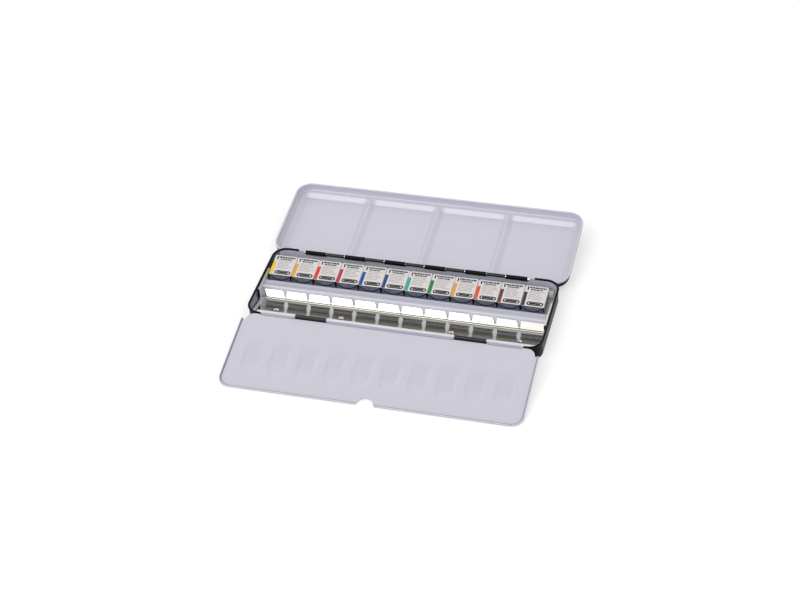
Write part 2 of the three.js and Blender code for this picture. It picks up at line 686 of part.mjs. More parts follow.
function roundBar(diameter, low, high, x, y, sides) {
  const bar = new THREE.CylinderGeometry(diameter / 2, diameter / 2, high - low, sides);
  return solid(bar.rotateX(Math.PI / 2).translate(x, y, (low + high) / 2));
}

function rivetHole(x, y) {
  return roundBar(rivetShank + 2 * seatGap, 0, creaseLevel + overrun, x, y, boreSides);
}

// How high the rim of a rivet's head lies, on the uphill side of a bowed floor
function rivetSeat(bowed) {
  const along = rowCentre + rivetSetback + rivetHead / 2 - creaseSetback - bowStart;
  const rise = bowed ? bowRadius - Math.sqrt(bowRadius ** 2 - along ** 2) : 0;
  return stripFloorTop + rise + seatGap / 2;
}

function rivet(headLow) {
  const dome = arc(0, 0, 1, 0, quarterTurn, 3).map(([out, up]) => new THREE.Vector2(
    out * rivetHead / 2, headLow + up * rivetDome));
  dome[dome.length - 1].x = 0;
  const profile = [
    new THREE.Vector2(0, trayFloorLow), new THREE.Vector2(rivetShank / 2, trayFloorLow),
    new THREE.Vector2(rivetShank / 2, headLow), ...dome,
  ];
  return solid(new THREE.LatheGeometry(profile, rivetSides).rotateX(Math.PI / 2));
}

// Wrapped half pans, drawn level with the foot of the front edge at the origin
const wrapArea = {
  x0: -wrapWidth / 2, x1: wrapWidth / 2, y0: 0, y1: wrapLength, radius: wrapRadius, steps: 1,
};

function wrapper() {
  const shell = loft(rings(wrapArea, [
    [0, wrapFootGap], ...arc(-wrapRadius, wrapHeight - wrapRadius, wrapRadius, 0, wrapRound, 2),
  ]));
  const hollow = loft(rings(wrapArea, [
    [-wrapPaper, wrapFootGap - overrun], [-wrapPaper, wrapHeight - wrapRadius],
    [-wrapRadius, wrapHeight - wrapPaper],
  ]));
  const half = wrapWidth / 2 - wrapRadius;
  const top = wrapHeight - wrapRadius - foldDrop;
  const fold = new THREE.Shape();
  fold.moveTo(half, top);
  fold.lineTo(-half, top);
  fold.quadraticCurveTo(0, top - 2 * foldSag, half, top);
  return shell.add(extrudeY(fold, -foldPaper, foldPaper, cornerSteps)).subtract(hollow);
}

const panArea = {
  x0: wrapArea.x0 + wrapPaper + panFit, x1: wrapArea.x1 - wrapPaper - panFit,
  y0: wrapPaper + panFit, y1: wrapLength - wrapPaper - panFit, radius: panRadius, steps: 2,
};
const panTop = wrapHeight - wrapPaper - 2 * panFit;

function halfPan() {
  return loft(rings(panArea, [
    [-panDraft, 0], [0, panTop], [-panWall, panTop], [-panWall - panDraft, panFloor],
  ]));
}

function paintBlock() {
  const low = panFloor + paintFit;
  const rim = panTop - paintDrop;
  const lean = panDraft / (panTop - panFloor);
  const edge = (level) => -panWall - paintFit - (panTop - level) * lean;
  return loft(rings(panArea, [
    [edge(low) - panRadius / 4, low], [edge(rim), rim], [edge(rim) - panWall, rim - paintDish / 2],
    [edge(rim) - 3 * panWall, rim - paintDish],
  ]));
}

// Assembly
const box = new THREE.Group();
box.name = 'paint_box';
box.add(mesh('case_body', caseBody(), lacquer));
box.add(mesh('rear_hinge_pin', hingePin(rearHingeSpan / 2, rearAxisY, rearAxisZ), steel));
box.add(mesh('front_hinge_pin', hingePin(flapKnuckleEnd, frontAxisY, frontAxisZ), steel));
box.add(mesh('pan_tray', panTray(), enamel));
box.add(mesh('holder_strip_front', holderStrip(-1), tin));
box.add(mesh('holder_strip_rear', holderStrip(1), tin));

rivetSites().forEach(([x, y], i) => {
  const row = y < 0 ? 'front' : 'rear';
  const piece = mesh(`rivet_${row}_${i % rivetPlaceShares.length + 1}`, rivet(rivetSeat(y < 0)), tin);
  piece.position.set(x, y, 0);
  box.add(piece);
});

const lid = mesh('lid_shell', lidShell(), enamel);
lid.position.set(0, rearAxisY, rearAxisZ);
lid.rotation.x = lidOpenTilt * degrees;
box.add(lid);

// The near hem lies on the table, which sets how far the flap drops
const hemMiddle = flapUnder + flapHem / 2;
const hemReach = flapReach - flapHem / 2;
const flapDrop = Math.asin((frontAxisZ - flapHem / 2) / Math.hypot(hemReach, hemMiddle))
  - Math.atan2(-hemMiddle, hemReach);
const flap = mesh('palette_flap', paletteFlap(), enamel);
flap.position.set(0, frontAxisY, frontAxisZ);
flap.rotation.x = flapDrop;
box.add(flap);

for (let i = 0; i < panCount; i += 1) {
  const number = String(i + 1).padStart(2, '0');
  const seat = new THREE.Group();
  seat.position.set(
    rowStart + panPitch * (i + 1) - wrapWidth / 2,
    rowCentre - stripHalfGap + panFrontGap, stripFloorTop + seatGap);
  seat.rotation.x = panTilt * degrees;
  const paint = new THREE.MeshStandardMaterial({ color: paintColours[i], roughness: 0.5 });
  seat.add(mesh(`half_pan_${number}`, halfPan(), panPlastic));
  seat.add(mesh(`paint_${number}`, paintBlock(), paint));
  seat.add(mesh(`wrapper_${number}`, wrapper(), paper));
  box.add(seat);
}

export default box;
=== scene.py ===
import math
import random

import bmesh
import bpy
import numpy as np
from mathutils import Matrix, Vector
from mathutils.geometry import delaunay_2d_cdt


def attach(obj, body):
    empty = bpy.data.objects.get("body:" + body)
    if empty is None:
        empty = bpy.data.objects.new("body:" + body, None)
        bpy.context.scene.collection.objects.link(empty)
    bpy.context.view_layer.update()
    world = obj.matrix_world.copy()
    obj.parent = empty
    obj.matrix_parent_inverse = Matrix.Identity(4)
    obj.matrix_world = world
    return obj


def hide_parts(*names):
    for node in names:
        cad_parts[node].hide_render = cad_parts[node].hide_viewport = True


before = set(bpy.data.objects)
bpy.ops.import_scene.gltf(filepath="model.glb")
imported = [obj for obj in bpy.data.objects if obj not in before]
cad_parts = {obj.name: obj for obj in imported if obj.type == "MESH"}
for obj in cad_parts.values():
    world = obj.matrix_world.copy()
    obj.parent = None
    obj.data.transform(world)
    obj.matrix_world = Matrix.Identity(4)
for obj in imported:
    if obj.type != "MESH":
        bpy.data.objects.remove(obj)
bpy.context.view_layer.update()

MM = 0.001

# Case, in millimetres as in the model
SHEET = 0.45  # thickness of the case, lid and flap
RIM_X, RIM_Y = 101.7, 35.1  # from the middle of the box to the middle of its rim
HEIGHT = 12.5
BEAD = 0.8  # radius of the rolled rim
REAR_Y, REAR_Z = 34.7, 11.1  # axis of the lid's hinge
FRONT_Y, FRONT_Z = -35.1, 12.9  # axis of the flap's hinge
CASE_HALF = 102.5  # half the length over the rim
REAR_PITCH = 28.85  # of the knuckles on the lid's hinge
FRONT_KNUCKLES = ((-65.8, -44.2), (44.2, 65.8))  # the case's, on the flap's hinge
SIDE_GAP = 0.4  # beside a turning knuckle
LID_TILT = math.radians(5.8)
FLAP_REACH, FLAP_BELOW = 63.5, 0.6  # the flap's near edge, from its hinge
FLAP_DROP = (math.asin((FRONT_Z - 0.7) / math.hypot(FLAP_REACH, FLAP_BELOW))
             - math.atan2(FLAP_BELOW, FLAP_REACH))


# Materials

def srgb(code):
    """A hex colour as linear red, green and blue with alpha."""
    out = []
    for i in (0, 2, 4):
        c = int(code[i:i + 2], 16) / 255
        out.append(c / 12.92 if c <= 0.04045 else ((c + 0.055) / 1.055) ** 2.4)
    return (*out, 1.0)


def material(name, colour, roughness, metallic=0.0, specular=0.5, coat=0.0):
    """A new material, its node tree and its shader."""
    mat = bpy.data.materials.new(name)
    mat.use_nodes = True
    shader = mat.node_tree.nodes["Principled BSDF"]
    shader.inputs["Base Color"].default_value = srgb(colour)
    shader.inputs["Roughness"].default_value = roughness
    shader.inputs["Metallic"].default_value = metallic
    shader.inputs["Specular IOR Level"].default_value = specular
    shader.inputs["Coat Weight"].default_value = coat
    return mat, mat.node_tree, shader


def node(tree, kind, inputs=None, **settings):
    """Adds a node. inputs holds values, or sockets to link from."""
    new = tree.nodes.new(kind)
    for key, value in settings.items():
        setattr(new, key, value)
    for key, value in (inputs or {}).items():
        if isinstance(value, bpy.types.NodeSocket):
            tree.links.new(value, new.inputs[key])
        else:
            new.inputs[key].default_value = value
    return new


def noise(tree, scale, detail=2.0, stretch=(1, 1, 1), roughness=0.5):
    """Noise in the object's own coordinates; scale is in waves per metre."""
    place = node(tree, "ShaderNodeTexCoord").outputs["Object"]
    mapped = node(tree, "ShaderNodeMapping", {"Vector": place, "Scale": stretch}).outputs["Vector"]
    return node(tree, "ShaderNodeTexNoise", {
        "Vector": mapped, "Scale": scale, "Detail": detail, "Roughness": roughness}).outputs["Fac"]


def spread(tree, value, low, high, to_low=0.0, to_high=1.0, kind="LINEAR"):
    """Maps a value from one range to another, clamped."""
    values = {"Value": value, "From Min": low, "From Max": high, "To Min": to_low, "To Max": to_high}
    return node(tree, "ShaderNodeMapRange", values, interpolation_type=kind).outputs["Result"]


def blend_colour(tree, factor, first, second):
    """Mixes two colours, each a hex code or a socket."""
    mix = node(tree, "ShaderNodeMix", data_type="RGBA")
    for key, value in ((0, factor), (6, first), (7, second)):
        if isinstance(value, bpy.types.NodeSocket):
            tree.links.new(value, mix.inputs[key])
        else:
            mix.inputs[key].default_value = srgb(value) if isinstance(value, str) else value
    return mix.outputs[2]


def bump(tree, shader, height, distance, strength):
    """Roughens a surface by a height; distance is in metres."""
    made = node(tree, "ShaderNodeBump", {"Height": height, "Distance": distance, "Strength": strength})
    tree.links.new(made.outputs["Normal"], shader.inputs["Normal"])


def enamel(name, colour, patch):
    """White stove enamel on tinplate: glossy, with a fine speckle and orange peel."""
    mat, tree, shader = material(name, colour, 0.24, coat=0.3)
    shader.inputs["Coat Roughness"].default_value = 0.12
    speckle = noise(tree, 900, 2)
    tree.links.new(blend_colour(tree, speckle, colour, patch), shader.inputs["Base Color"])
    tree.links.new(spread(tree, speckle, 0.3, 0.7, 0.22, 0.28), shader.inputs["Roughness"])
    bump(tree, shader, noise(tree, 350, 0), 0.00001, 0.2)
    return mat


def lacquer(name, shine):
    """Black stove lacquer: satin gloss, with fine dust scratches and rubbed spots."""
    mat, tree, shader = material(name, "121213", 0.36, specular=shine, coat=shine / 6)
    rub = spread(tree, noise(tree, 70, 5, roughness=0.7), 0.6, 0.85)
    tree.links.new(blend_colour(tree, rub, "0f0f10", "1e1e20"), shader.inputs["Base Color"])
    tree.links.new(spread(tree, noise(tree, 420, 3), 0.3, 0.7, 0.3, 0.45), shader.inputs["Roughness"])
    bump(tree, shader, noise(tree, 600, 2), 0.00003, 0.3)
    return mat


def tinplate(name):
    """Bright tinplate: rolled along the box, with soft streaks."""
    mat, tree, shader = material(name, "c9c8c2", 0.2, 1.0)
    streaks = noise(tree, 60, 4, (0.25, 9, 9), 0.6)
    tint = blend_colour(tree, spread(tree, streaks, 0.3, 0.7), "d2d1c9", "e2e1db")
    tree.links.new(tint, shader.inputs["Base Color"])
    tree.links.new(spread(tree, streaks, 0.3, 0.7, 0.08, 0.12), shader.inputs["Roughness"])
    bump(tree, shader, noise(tree, 200, 2, (0.2, 4, 4)), 0.00002, 0.03)
    return mat


def matt_streaked_sheet(name, first, second, stretch):
    """Matt sheet with fine lines along the box: rubbed tinplate, and, in the darker colours used on the ridge
    top and the crease, painted shade.
    """
    mat, tree, shader = material(name, first, 0.45, 0.1)
    streaks = spread(tree, noise(tree, 60, 3, stretch, 0.6), 0.4, 0.6)
    tree.links.new(blend_colour(tree, streaks, first, second), shader.inputs["Base Color"])
    return mat


def primer(name):
    """Near black for the deep gaps and the rivet rings, where there is only shade: painted shade, matt, with
    a little dust.
    """
    mat, tree, shader = material(name, "08080a", 0.8, specular=0.1)
    dust = spread(tree, noise(tree, 300, 2), 0.5, 0.8)
    tree.links.new(blend_colour(tree, dust, "08080a", "141418"), shader.inputs["Base Color"])
    return mat


# Drawn and folded forms

def obj_from(name, verts, faces, mats, indices=None, smooth=35.0):
    """A mesh object from millimetre coordinates, shaded smooth up to an angle."""
    mesh = bpy.data.meshes.new(name)
    mesh.from_pydata([tuple(c * MM for c in v) for v in verts], [], faces)
    for mat in mats:
        mesh.materials.append(mat)
    if indices is not None:
        mesh.polygons.foreach_set("material_index", indices)
    mesh.update()
    obj = bpy.data.objects.new(name, mesh)
    bpy.context.scene.collection.objects.link(obj)
    if smooth:
        bpy.ops.object.select_all(action="DESELECT")
        obj.select_set(True)
        bpy.context.view_layer.objects.active = obj
        bpy.ops.object.shade_smooth_by_angle(angle=math.radians(smooth))
    return obj


def ring(area, grow, level, steps):
    """A closed ring round a rectangle with rounded corners. area is x0, x1, y0, y1, radius."""
    x0, x1, y0, y1, corner = area
    radius = max(corner + grow, corner / 8)
    left, right = x0 - grow + radius, x1 + grow - radius
    near, far = y0 - grow + radius, y1 + grow - radius
    points = []
    for cx, cy, start in ((right, near, -0.5), (right, far, 0), (left, far, 0.5), (left, near, 1)):
        for i in range(steps + 1):
            a = (start + i / steps / 2) * math.pi
            points.append((cx + radius * math.cos(a), cy + radius * math.sin(a), level))
    return points


def arc(out, up, radius, start, end, steps):
    """Points on an arc; the angles are in degrees."""
    turns = [math.radians(start + (end - start) * i / steps) for i in range(steps + 1)]
    return [(out + radius * math.cos(a), up + radius * math.sin(a)) for a in turns]


def skin(rings, closed=False, caps=True, bands=None):
    """Verts, faces and material indices of a stack of rings."""
    size = len(rings[0])
    verts = [p for r in rings for p in r]
    faces, indices = [], []
    count = len(rings) if closed else len(rings) - 1
    for r in range(count):
        low, high = r * size, (r + 1) % len(rings) * size
        for i in range(size):
            j = (i + 1) % size
            faces.append((low + i, low + j, high + j, high + i))
            indices.append(bands[r] if bands else 0)
    if not closed and caps:
        top = (len(rings) - 1) * size
        faces.append(tuple(range(size - 1, -1, -1)))
        faces.append(tuple(range(top, top + size)))
        indices += [bands[0] if bands else 0, bands[-1] if bands else 0]
    return verts, faces, indices


def merged(*parts):
    """Joins several (verts, faces, indices)."""
    verts, faces, indices = [], [], []
    for v, f, m in parts:
        base = len(verts)
        verts += list(v)
        faces += [tuple(i + base for i in face) for face in f]
        indices += list(m)
    return verts, faces, indices


def box(x0, x1, y0, y1, z0, z1, index=0):
    """A plain block."""
    verts = [(x, y, z) for z in (z0, z1) for x, y in ((x0, y0), (x1, y0), (x1, y1), (x0, y1))]
    faces = [(3, 2, 1, 0), (4, 5, 6, 7), (0, 1, 5, 4), (1, 2, 6, 5), (2, 3, 7, 6), (3, 0, 4, 7)]
    return verts, faces, [index] * 6


def channel(line, bands, x0, x1, thick):
    """A bent sheet run along X. line is its upper side, and bands holds a material for each stretch."""
    top = np.array(line, float)
    way = np.diff(top, axis=0)
    way /= np.linalg.norm(way, axis=1)[:, None]
    normal = np.stack([-way[:, 1], way[:, 0]], 1)
    first, second = np.vstack([normal[:1], normal]), np.vstack([normal, normal[-1:]])
    low = top - (first + second) / (1 + (first * second).sum(1))[:, None] * thick
    loop = np.concatenate([low, top[::-1]])
    verts, faces, _ = skin([[(x, y, z) for y, z in loop] for x in (x0, x1)])
    indices = [bands[0]] * len(bands) + [bands[-1]] + bands[::-1] + [bands[0]] * 3
    return verts, faces, indices


def tube(x0, x1, y, z, radius, bore, index=0, sides=28, chamfer=0.15):
    """A rolled knuckle along X, open through its middle."""
    profile = [(x0, bore), (x0, radius - chamfer), (x0 + chamfer, radius), (x1 - chamfer, radius),
               (x1, radius - chamfer), (x1, bore)]
    rings = [[(px, y + r * math.cos(2 * math.pi * i / sides), z + r * math.sin(2 * math.pi * i / sides))
              for i in range(sides)] for px, r in profile]
    return skin([list(reversed(r)) for r in rings][::-1], closed=True, bands=[index] * len(profile))


def cut(obj, cutters):
    """Cuts boxes and other closed forms out of an object, and keeps the object's own materials."""
    verts, faces, _ = merged(*cutters)
    tool = obj_from("cutter", verts, faces, [], smooth=0)
    mod = obj.modifiers.new("cut", "BOOLEAN")
    mod.operation = "DIFFERENCE"
    mod.solver = "EXACT"
    mod.use_self = True
    mod.object = tool
    bpy.ops.object.select_all(action="DESELECT")
    obj.select_set(True)
    bpy.context.view_layer.objects.active = obj
    bpy.ops.object.modifier_apply(modifier=mod.name)
    bpy.data.objects.remove(tool, do_unlink=True)
    bpy.ops.object.shade_smooth_by_angle(angle=math.radians(35))


def inside(points, loops):
    """Even-odd test of points against closed loops."""
    px, py = points[:, 0], points[:, 1]
    odd = np.zeros(len(points), bool)
    for loop in loops:
        a = np.array(loop)
        b = np.roll(a, -1, axis=0)
        for (ax, ay), (bx, by) in zip(a, b):
            if ay == by:
                continue
            crosses = (ay > py) != (by > py)
            odd ^= crosses & (px < (bx - ax) * (py - ay) / (by - ay) + ax)
    return odd


def resample(loop, step):
    """Splits the long sides of a loop."""
    out = []
    for (ax, ay), (bx, by) in zip(loop, loop[1:] + loop[:1]):
        parts = max(1, math.ceil(math.hypot(bx - ax, by - ay) / step))
        out += [(ax + (bx - ax) * i / parts, ay + (by - ay) * i / parts) for i in range(parts)]
    return out


def inner_points(loops, us, vs, clear):
    """The grid points inside the loops that lie clear of their edges."""
    grid = np.array([(u, v) for u in us for v in vs])
    grid = grid[inside(grid, loops)]
    edge = np.array([p for loop in loops for p in loop])
    free = np.ones(len(grid), bool)
    block = 2000
    for start in range(0, len(grid), block):
        part = grid[start:start + block]
        gap = np.sqrt(((part[:, None, :] - edge[None]) ** 2).sum(2)).min(1)
        free[start:start + block] = gap > clear
    return grid[free]


def filled(loops, us, vs, clear):
    """Flat points and triangles that fill the loops, all turned the same way."""
    points = [Vector(p) for loop in loops for p in loop]
    points += [Vector(p) for p in inner_points(loops, us, vs, clear)]
    edges, base = [], 0
    for loop in loops:
        edges += [(base + i, base + (i + 1) % len(loop)) for i in range(len(loop))]
        base += len(loop)
    flat, _, tris, _, _, _ = delaunay_2d_cdt(points, edges, [], 0, 1e-5)
    flat = np.array([(p.x, p.y) for p in flat])
    tris = np.array(tris)
    tris = tris[inside(flat[tris].mean(1), loops)]
    used = np.unique(tris)
    renumber = -np.ones(len(flat), int)
    renumber[used] = np.arange(len(used))
    flat, tris = flat[used], renumber[tris]
    a, b, c = flat[tris[:, 0]], flat[tris[:, 1]], flat[tris[:, 2]]
    turn = (b[:, 0] - a[:, 0]) * (c[:, 1] - a[:, 1]) - (b[:, 1] - a[:, 1]) * (c[:, 0] - a[:, 0])
    tris[turn < 0] = tris[turn < 0][:, ::-1]
    return flat, tris


def sheet(name, loops, us, vs, place, thick, mats, faces_to=(0, 1, 0), clear=0.3):
    """A sheet of metal cut to loops and bent by place(u, v), which gives its upper side."""
    # us and vs are the grid lines inside; faces_to holds the materials of the top, bottom and edge
    span = max(max(abs(us[i + 1] - us[i]) for i in range(len(us) - 1)),
               max(abs(vs[i + 1] - vs[i]) for i in range(len(vs) - 1)))
    flat, tris = filled([resample(list(loop), span) for loop in loops], us, vs, clear)
    u, v = flat[:, 0], flat[:, 1]
    top = np.stack(place(u, v), 1)
    e = 0.02
    du = np.stack(place(u + e, v), 1) - np.stack(place(u - e, v), 1)
    dv = np.stack(place(u, v + e), 1) - np.stack(place(u, v - e), 1)
    normal = np.cross(du, dv)
    normal /= np.linalg.norm(normal, axis=1)[:, None]
    low = top - normal * thick
    n = len(top)
    sides = dict.fromkeys((t[i], t[(i + 1) % 3]) for t in tris for i in range(3))
    rim = [(i, j) for i, j in sides if (j, i) not in sides]
    faces = [tuple(t) for t in tris.tolist()]
    faces += [(t[0] + n, t[2] + n, t[1] + n) for t in tris.tolist()]
    faces += [(int(j), int(i), int(i) + n, int(j) + n) for i, j in rim]
    indices = [faces_to[0]] * len(tris) + [faces_to[1]] * len(tris) + [faces_to[2]] * len(rim)
    verts = np.concatenate([top, low]).tolist()
    return obj_from(name, verts, faces, mats, indices, 40.0)


def lines(start, stop, step):
    """Even steps from start to stop, of about the given size."""
    count = max(1, round((stop - start) / step))
    return [start + (stop - start) * i / count for i in range(count + 1)]


def smooth_step(x):
    """0 below 0, 1 above 1, and a soft rise between."""
    x = np.clip(x, 0, 1)
    return x * x * (3 - 2 * x)


def placed(obj, y, z, angle):
    """Turns finished geometry about the X axis and moves it, in its own vertices."""
    obj.data.transform(Matrix.Translation((0, y * MM, z * MM)) @ Matrix.Rotation(angle, 4, "X"))


LID_ENAMEL = enamel("lid_enamel", "cecbd8", "ccc9d6")
FLAP_ENAMEL = enamel("flap_enamel", "cdcbd6", "cbc9d4")
TRAY_ENAMEL = enamel("tray_enamel", "cccdda", "c8c9d6")
# A lighter copy of the enamel for the case's inner walls: painted light.
INNER_ENAMEL_LIT = enamel("case_inner_enamel", "dedeea", "dadae6")
# A darker copy of the enamel: painted shade on the case's inner left wall and on the flap hem's inner face.
SHADED_ENAMEL = enamel("case_end_enamel", "7e8295", "767a8d")
# A dark copy of the enamel for the hem's lower outer face: painted shade.
UNDER_SHADE_ENAMEL = enamel("hem_underside_enamel", "7c7c88", "787884")
# A lighter copy of the flap enamel for the flap's knuckles: painted light.
KNUCKLE_ENAMEL_LIT = enamel("knuckle_enamel", "d6d5e2", "d4d3e0")
# A slightly lighter copy of the tray enamel for the ridge's near edge and the tray's end walls: painted
# light.
RIDGE_EDGE_LIT = enamel("ridge_edge_enamel", "cfceda", "cccbd8")
LACQUER = lacquer("black_lacquer", 0.08)
KNUCKLE_LACQUER = lacquer("knuckle_lacquer", 0.4)
TIN = tinplate("bright_tinplate")
DULL_TIN = matt_streaked_sheet("dull_tinplate", "d2cfc4", "e0ddd4", (0.05, 14, 1))
# Grey with fine lines on the ridge's flat top: painted shade from the pans beside it.
RIDGE_TOP_SHADE = matt_streaked_sheet("worn_ridge_enamel", "a6a7b4", "bcbcc8", (0.02, 16, 1))
# Near black put in the deep gaps and round the rivets: painted shade.
BLACK_SHADE = primer("black_primer")
# A darker tin along the front strip's crease: painted shade.
CREASE_SHADE_TIN = matt_streaked_sheet("creased_tinplate", "8a837c", "9c958c", (0.05, 14, 1))


# The case

LID_KNUCKLES = [((i - 2.5) * REAR_PITCH - 8.0, (i - 2.5) * REAR_PITCH + 6.7) for i in range(6)]
CASE_KNUCKLES = [((i - 2) * REAR_PITCH - 7.3, (i - 2) * REAR_PITCH + 5.65) for i in range(5)]
REAR_CUT = (-85.3, 84.0)  # where the rim is left out for the lid's hinge
FRONT_CUT = 90.6  # and, either way from the middle, for the flap's


def shell_rings(area, top, floor, bead, foot, inner_foot, steps, levels=()):
    """Rings of a pressed tray with a rolled edge, and which band is where. levels are extra inner rings."""
    half = SHEET / 2
    meet = math.degrees(math.acos(half / bead))
    outer = arc(half - foot, floor - SHEET + foot, foot, -90, 0, 5)
    roll = arc(0, top - bead, bead, -meet, 180 + meet, 14)
    inner = arc(-half - inner_foot, floor + inner_foot, inner_foot, 0, -90, 5)
    profile = outer + roll + [(-half, level) for level in levels] + inner
    return [ring(area, g, z, steps) for g, z in profile], len(outer), len(roll)


def case_shell():
    """The pressed case, cut open for both hinges."""
    black, white, shaded, dark = range(4)
    area = (-RIM_X, RIM_X, -RIM_Y, RIM_Y, 9.2)
    rings, n_out, n_roll = shell_rings(area, HEIGHT, SHEET, BEAD, 1.2, 0.75, 14, (8.5, 7, 5.2, 1.9))
    wall = n_out + n_roll
    # Inside: the upper wall takes the lighter enamel, painted light; the lower wall below 5.2 mm and the
    # floor are near black, painted shade.
    bands = [black] * (wall - 3) + [white] * 5 + [dark] * (len(rings) - wall - 3)
    verts, faces, indices = skin(rings, bands=bands)
    # On the inner left wall, above 1.8 mm, the faces take the darker enamel: painted shade.
    for i, face in enumerate(faces):
        at_left = verts[face[0]][0] < -RIM_X + 3 and min(verts[k][2] for k in face) > 1.8
        if at_left and indices[i] in (white, dark):
            indices[i] = shaded
    case = obj_from("case_shell", verts, faces, [LACQUER, INNER_ENAMEL_LIT, SHADED_ENAMEL, BLACK_SHADE], indices)
    foot = HEIGHT - 2 * BEAD - 0.1
    cut(case, [box(*REAR_CUT, RIM_Y - 2, RIM_Y + 2, foot, 20),
               box(-FRONT_CUT, FRONT_CUT, -RIM_Y - 2, -RIM_Y + 2, foot, 20)])
    cut(case, [box(a - SIDE_GAP, b + SIDE_GAP, RIM_Y - 2, RIM_Y + 2, REAR_Z - 2.5, 20)
               for a, b in LID_KNUCKLES])
    return case


def make_case():
    """The shell, and the knuckles with the strips of wall that carry them."""
    shell = case_shell()
    foot = HEIGHT - 2 * BEAD - 0.6
    parts = []
    for a, b in CASE_KNUCKLES:
        parts.append(tube(a, b, REAR_Y, REAR_Z, 1.2, 0.85, 1))
        parts.append(box(a, b, RIM_Y - 0.2, RIM_Y + 0.22, REAR_Z - 3.0, REAR_Z - 0.2))
    for a, b in FRONT_KNUCKLES:
        parts.append(tube(a, b, FRONT_Y, FRONT_Z, 1.3, 0.85, 1))
        parts.append(box(a, b, -RIM_Y - 0.22, -RIM_Y + 0.2, foot, FRONT_Z - 1.0))
    parts.append(box(-FRONT_CUT, FRONT_CUT, -RIM_Y - 0.22, -RIM_Y + 0.22, foot, FRONT_Z - 1.6))
    verts, faces, indices = merged(*parts)
    knuckles = obj_from("case_knuckles", verts, faces, [LACQUER, KNUCKLE_LACQUER], indices)
    for piece in (shell, knuckles):
        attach(piece, "case")
        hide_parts("case_body")


# The lid, level and open about the line y = 0, z = 0, then tilted

LID_AREA = (-105.5, 105.5, 1.4, 72.1, 10.3)
LEDGE = -7.6
WELL_INSET = SHEET / 2 + 3  # from the middle of the lid's edge to the wells
RIDGE_FLAT = 0.8  # between two wells
WELL_RUN, WELL_DEPTH, WELL_CORNER = 3.5, 2.7, 4.6
WELL_X0, WELL_X1 = LID_AREA[0] + WELL_INSET, LID_AREA[1] - WELL_INSET
WELL_Y0, WELL_Y1 = LID_AREA[2] + WELL_INSET, LID_AREA[3] - WELL_INSET
WELL_PITCH = (WELL_X1 - WELL_X0 + RIDGE_FLAT) / 4
WELLS = [(WELL_X0 + i * WELL_PITCH, WELL_X0 + (i + 1) * WELL_PITCH - RIDGE_FLAT) for i in range(4)]


def well_depth(x, y):
    """How deep the lid's floor lies below its ledge."""
    total = np.zeros_like(x)
    soft = 0.12
    for x0, x1 in WELLS:
        qx = np.abs(x - (x0 + x1) / 2) - (x1 - x0) / 2 + WELL_CORNER
        qy = np.abs(y - (WELL_Y0 + WELL_Y1) / 2) - (WELL_Y1 - WELL_Y0) / 2 + WELL_CORNER
        beyond = np.hypot(np.maximum(qx, 0), np.maximum(qy, 0))
        away = beyond + np.minimum(np.maximum(qx, qy), 0) - WELL_CORNER
        share = np.clip(-away / WELL_RUN, -soft, 1.15)
        foot = 1 - (1 + soft - share).clip(0) ** 2 / (4 * soft)
        rise = np.where(share > 1 - soft, foot, share)
        rise = np.where(share < soft, (share + soft).clip(0) ** 2 / (4 * soft), rise)
        total = np.maximum(total, rise * WELL_DEPTH)
    return total


def lid_skirt():
    """The lid's walls with their rolled edge, and its knuckles."""
    rings, n_out, _ = shell_rings(LID_AREA, -1.6, LEDGE, 0.7, 2.4, 1.5, 16)
    rings.insert(n_out, ring(LID_AREA, SHEET / 2, LEDGE + 4.0, 16))
    parts = [skin(rings, caps=False, bands=[0] * n_out + [1] * (len(rings) - n_out - 1))]
    for a, b in LID_KNUCKLES:
        parts.append(tube(a, b, 0, 0, 1.4, 0.85))
        parts.append(box(a, b, 0.8, 1.4, -2.3, 0))
    verts, faces, indices = merged(*parts)
    return obj_from("lid_skirt", verts, faces, [LACQUER, LID_ENAMEL], indices)


def lid_floor():
    """The ledge and the mixing wells, with finer grid lines along the wells' sides."""
    edge = [(x, y) for x, y, _ in ring(LID_AREA, -SHEET / 2 - 1.5, 0, 16)]
    us = lines(-104, 104, 1.3)
    for x0, x1 in WELLS:
        us += [x + d for x in (x0, x1) for d in (-0.8, -0.4, 0, 0.4, 0.8)]
        us += [x + side * share * WELL_RUN for x, side in ((x0, 1), (x1, -1)) for share in (0.85, 1, 1.15)]
    vs = lines(3, 71, 1.3)
    for d in (-0.4, 0, 0.4, 0.8, 2.9, 3.4, 3.9):
        vs += [WELL_Y0 + d, WELL_Y1 - d]
    us, vs = (sorted({round(v, 3) for v in many}) for many in (us, vs))
    return sheet("lid_floor", [edge], us, vs, lambda u, v: (u, v, LEDGE - well_depth(u, v)), SHEET,
                 [LACQUER, LID_ENAMEL], (1, 0, 1))


def make_lid():
    """The lid, tilted back about its hinge."""
    for piece in (lid_skirt(), lid_floor()):
        placed(piece, REAR_Y, REAR_Z, LID_TILT)
        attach(piece, "lid")
        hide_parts("lid_shell")


# The flap, level and open about the line y = 0, z = 0, then dropped

FLAP_TOP, FLAP_UNDER = -0.85, -1.3  # the plate's sides, from the axis of its hinge
FLAP_HALF, FLAP_NECK = 102.6, 99.4
NOTCH_X = -1.0  # middle of the finger notch
THUMB_WELLS = [(i - 4.5) * 19 for i in range(10)]
THUMB_RADIUS, THUMB_NEAR, THUMB_WALL = 6.5, -43.5, 1.3


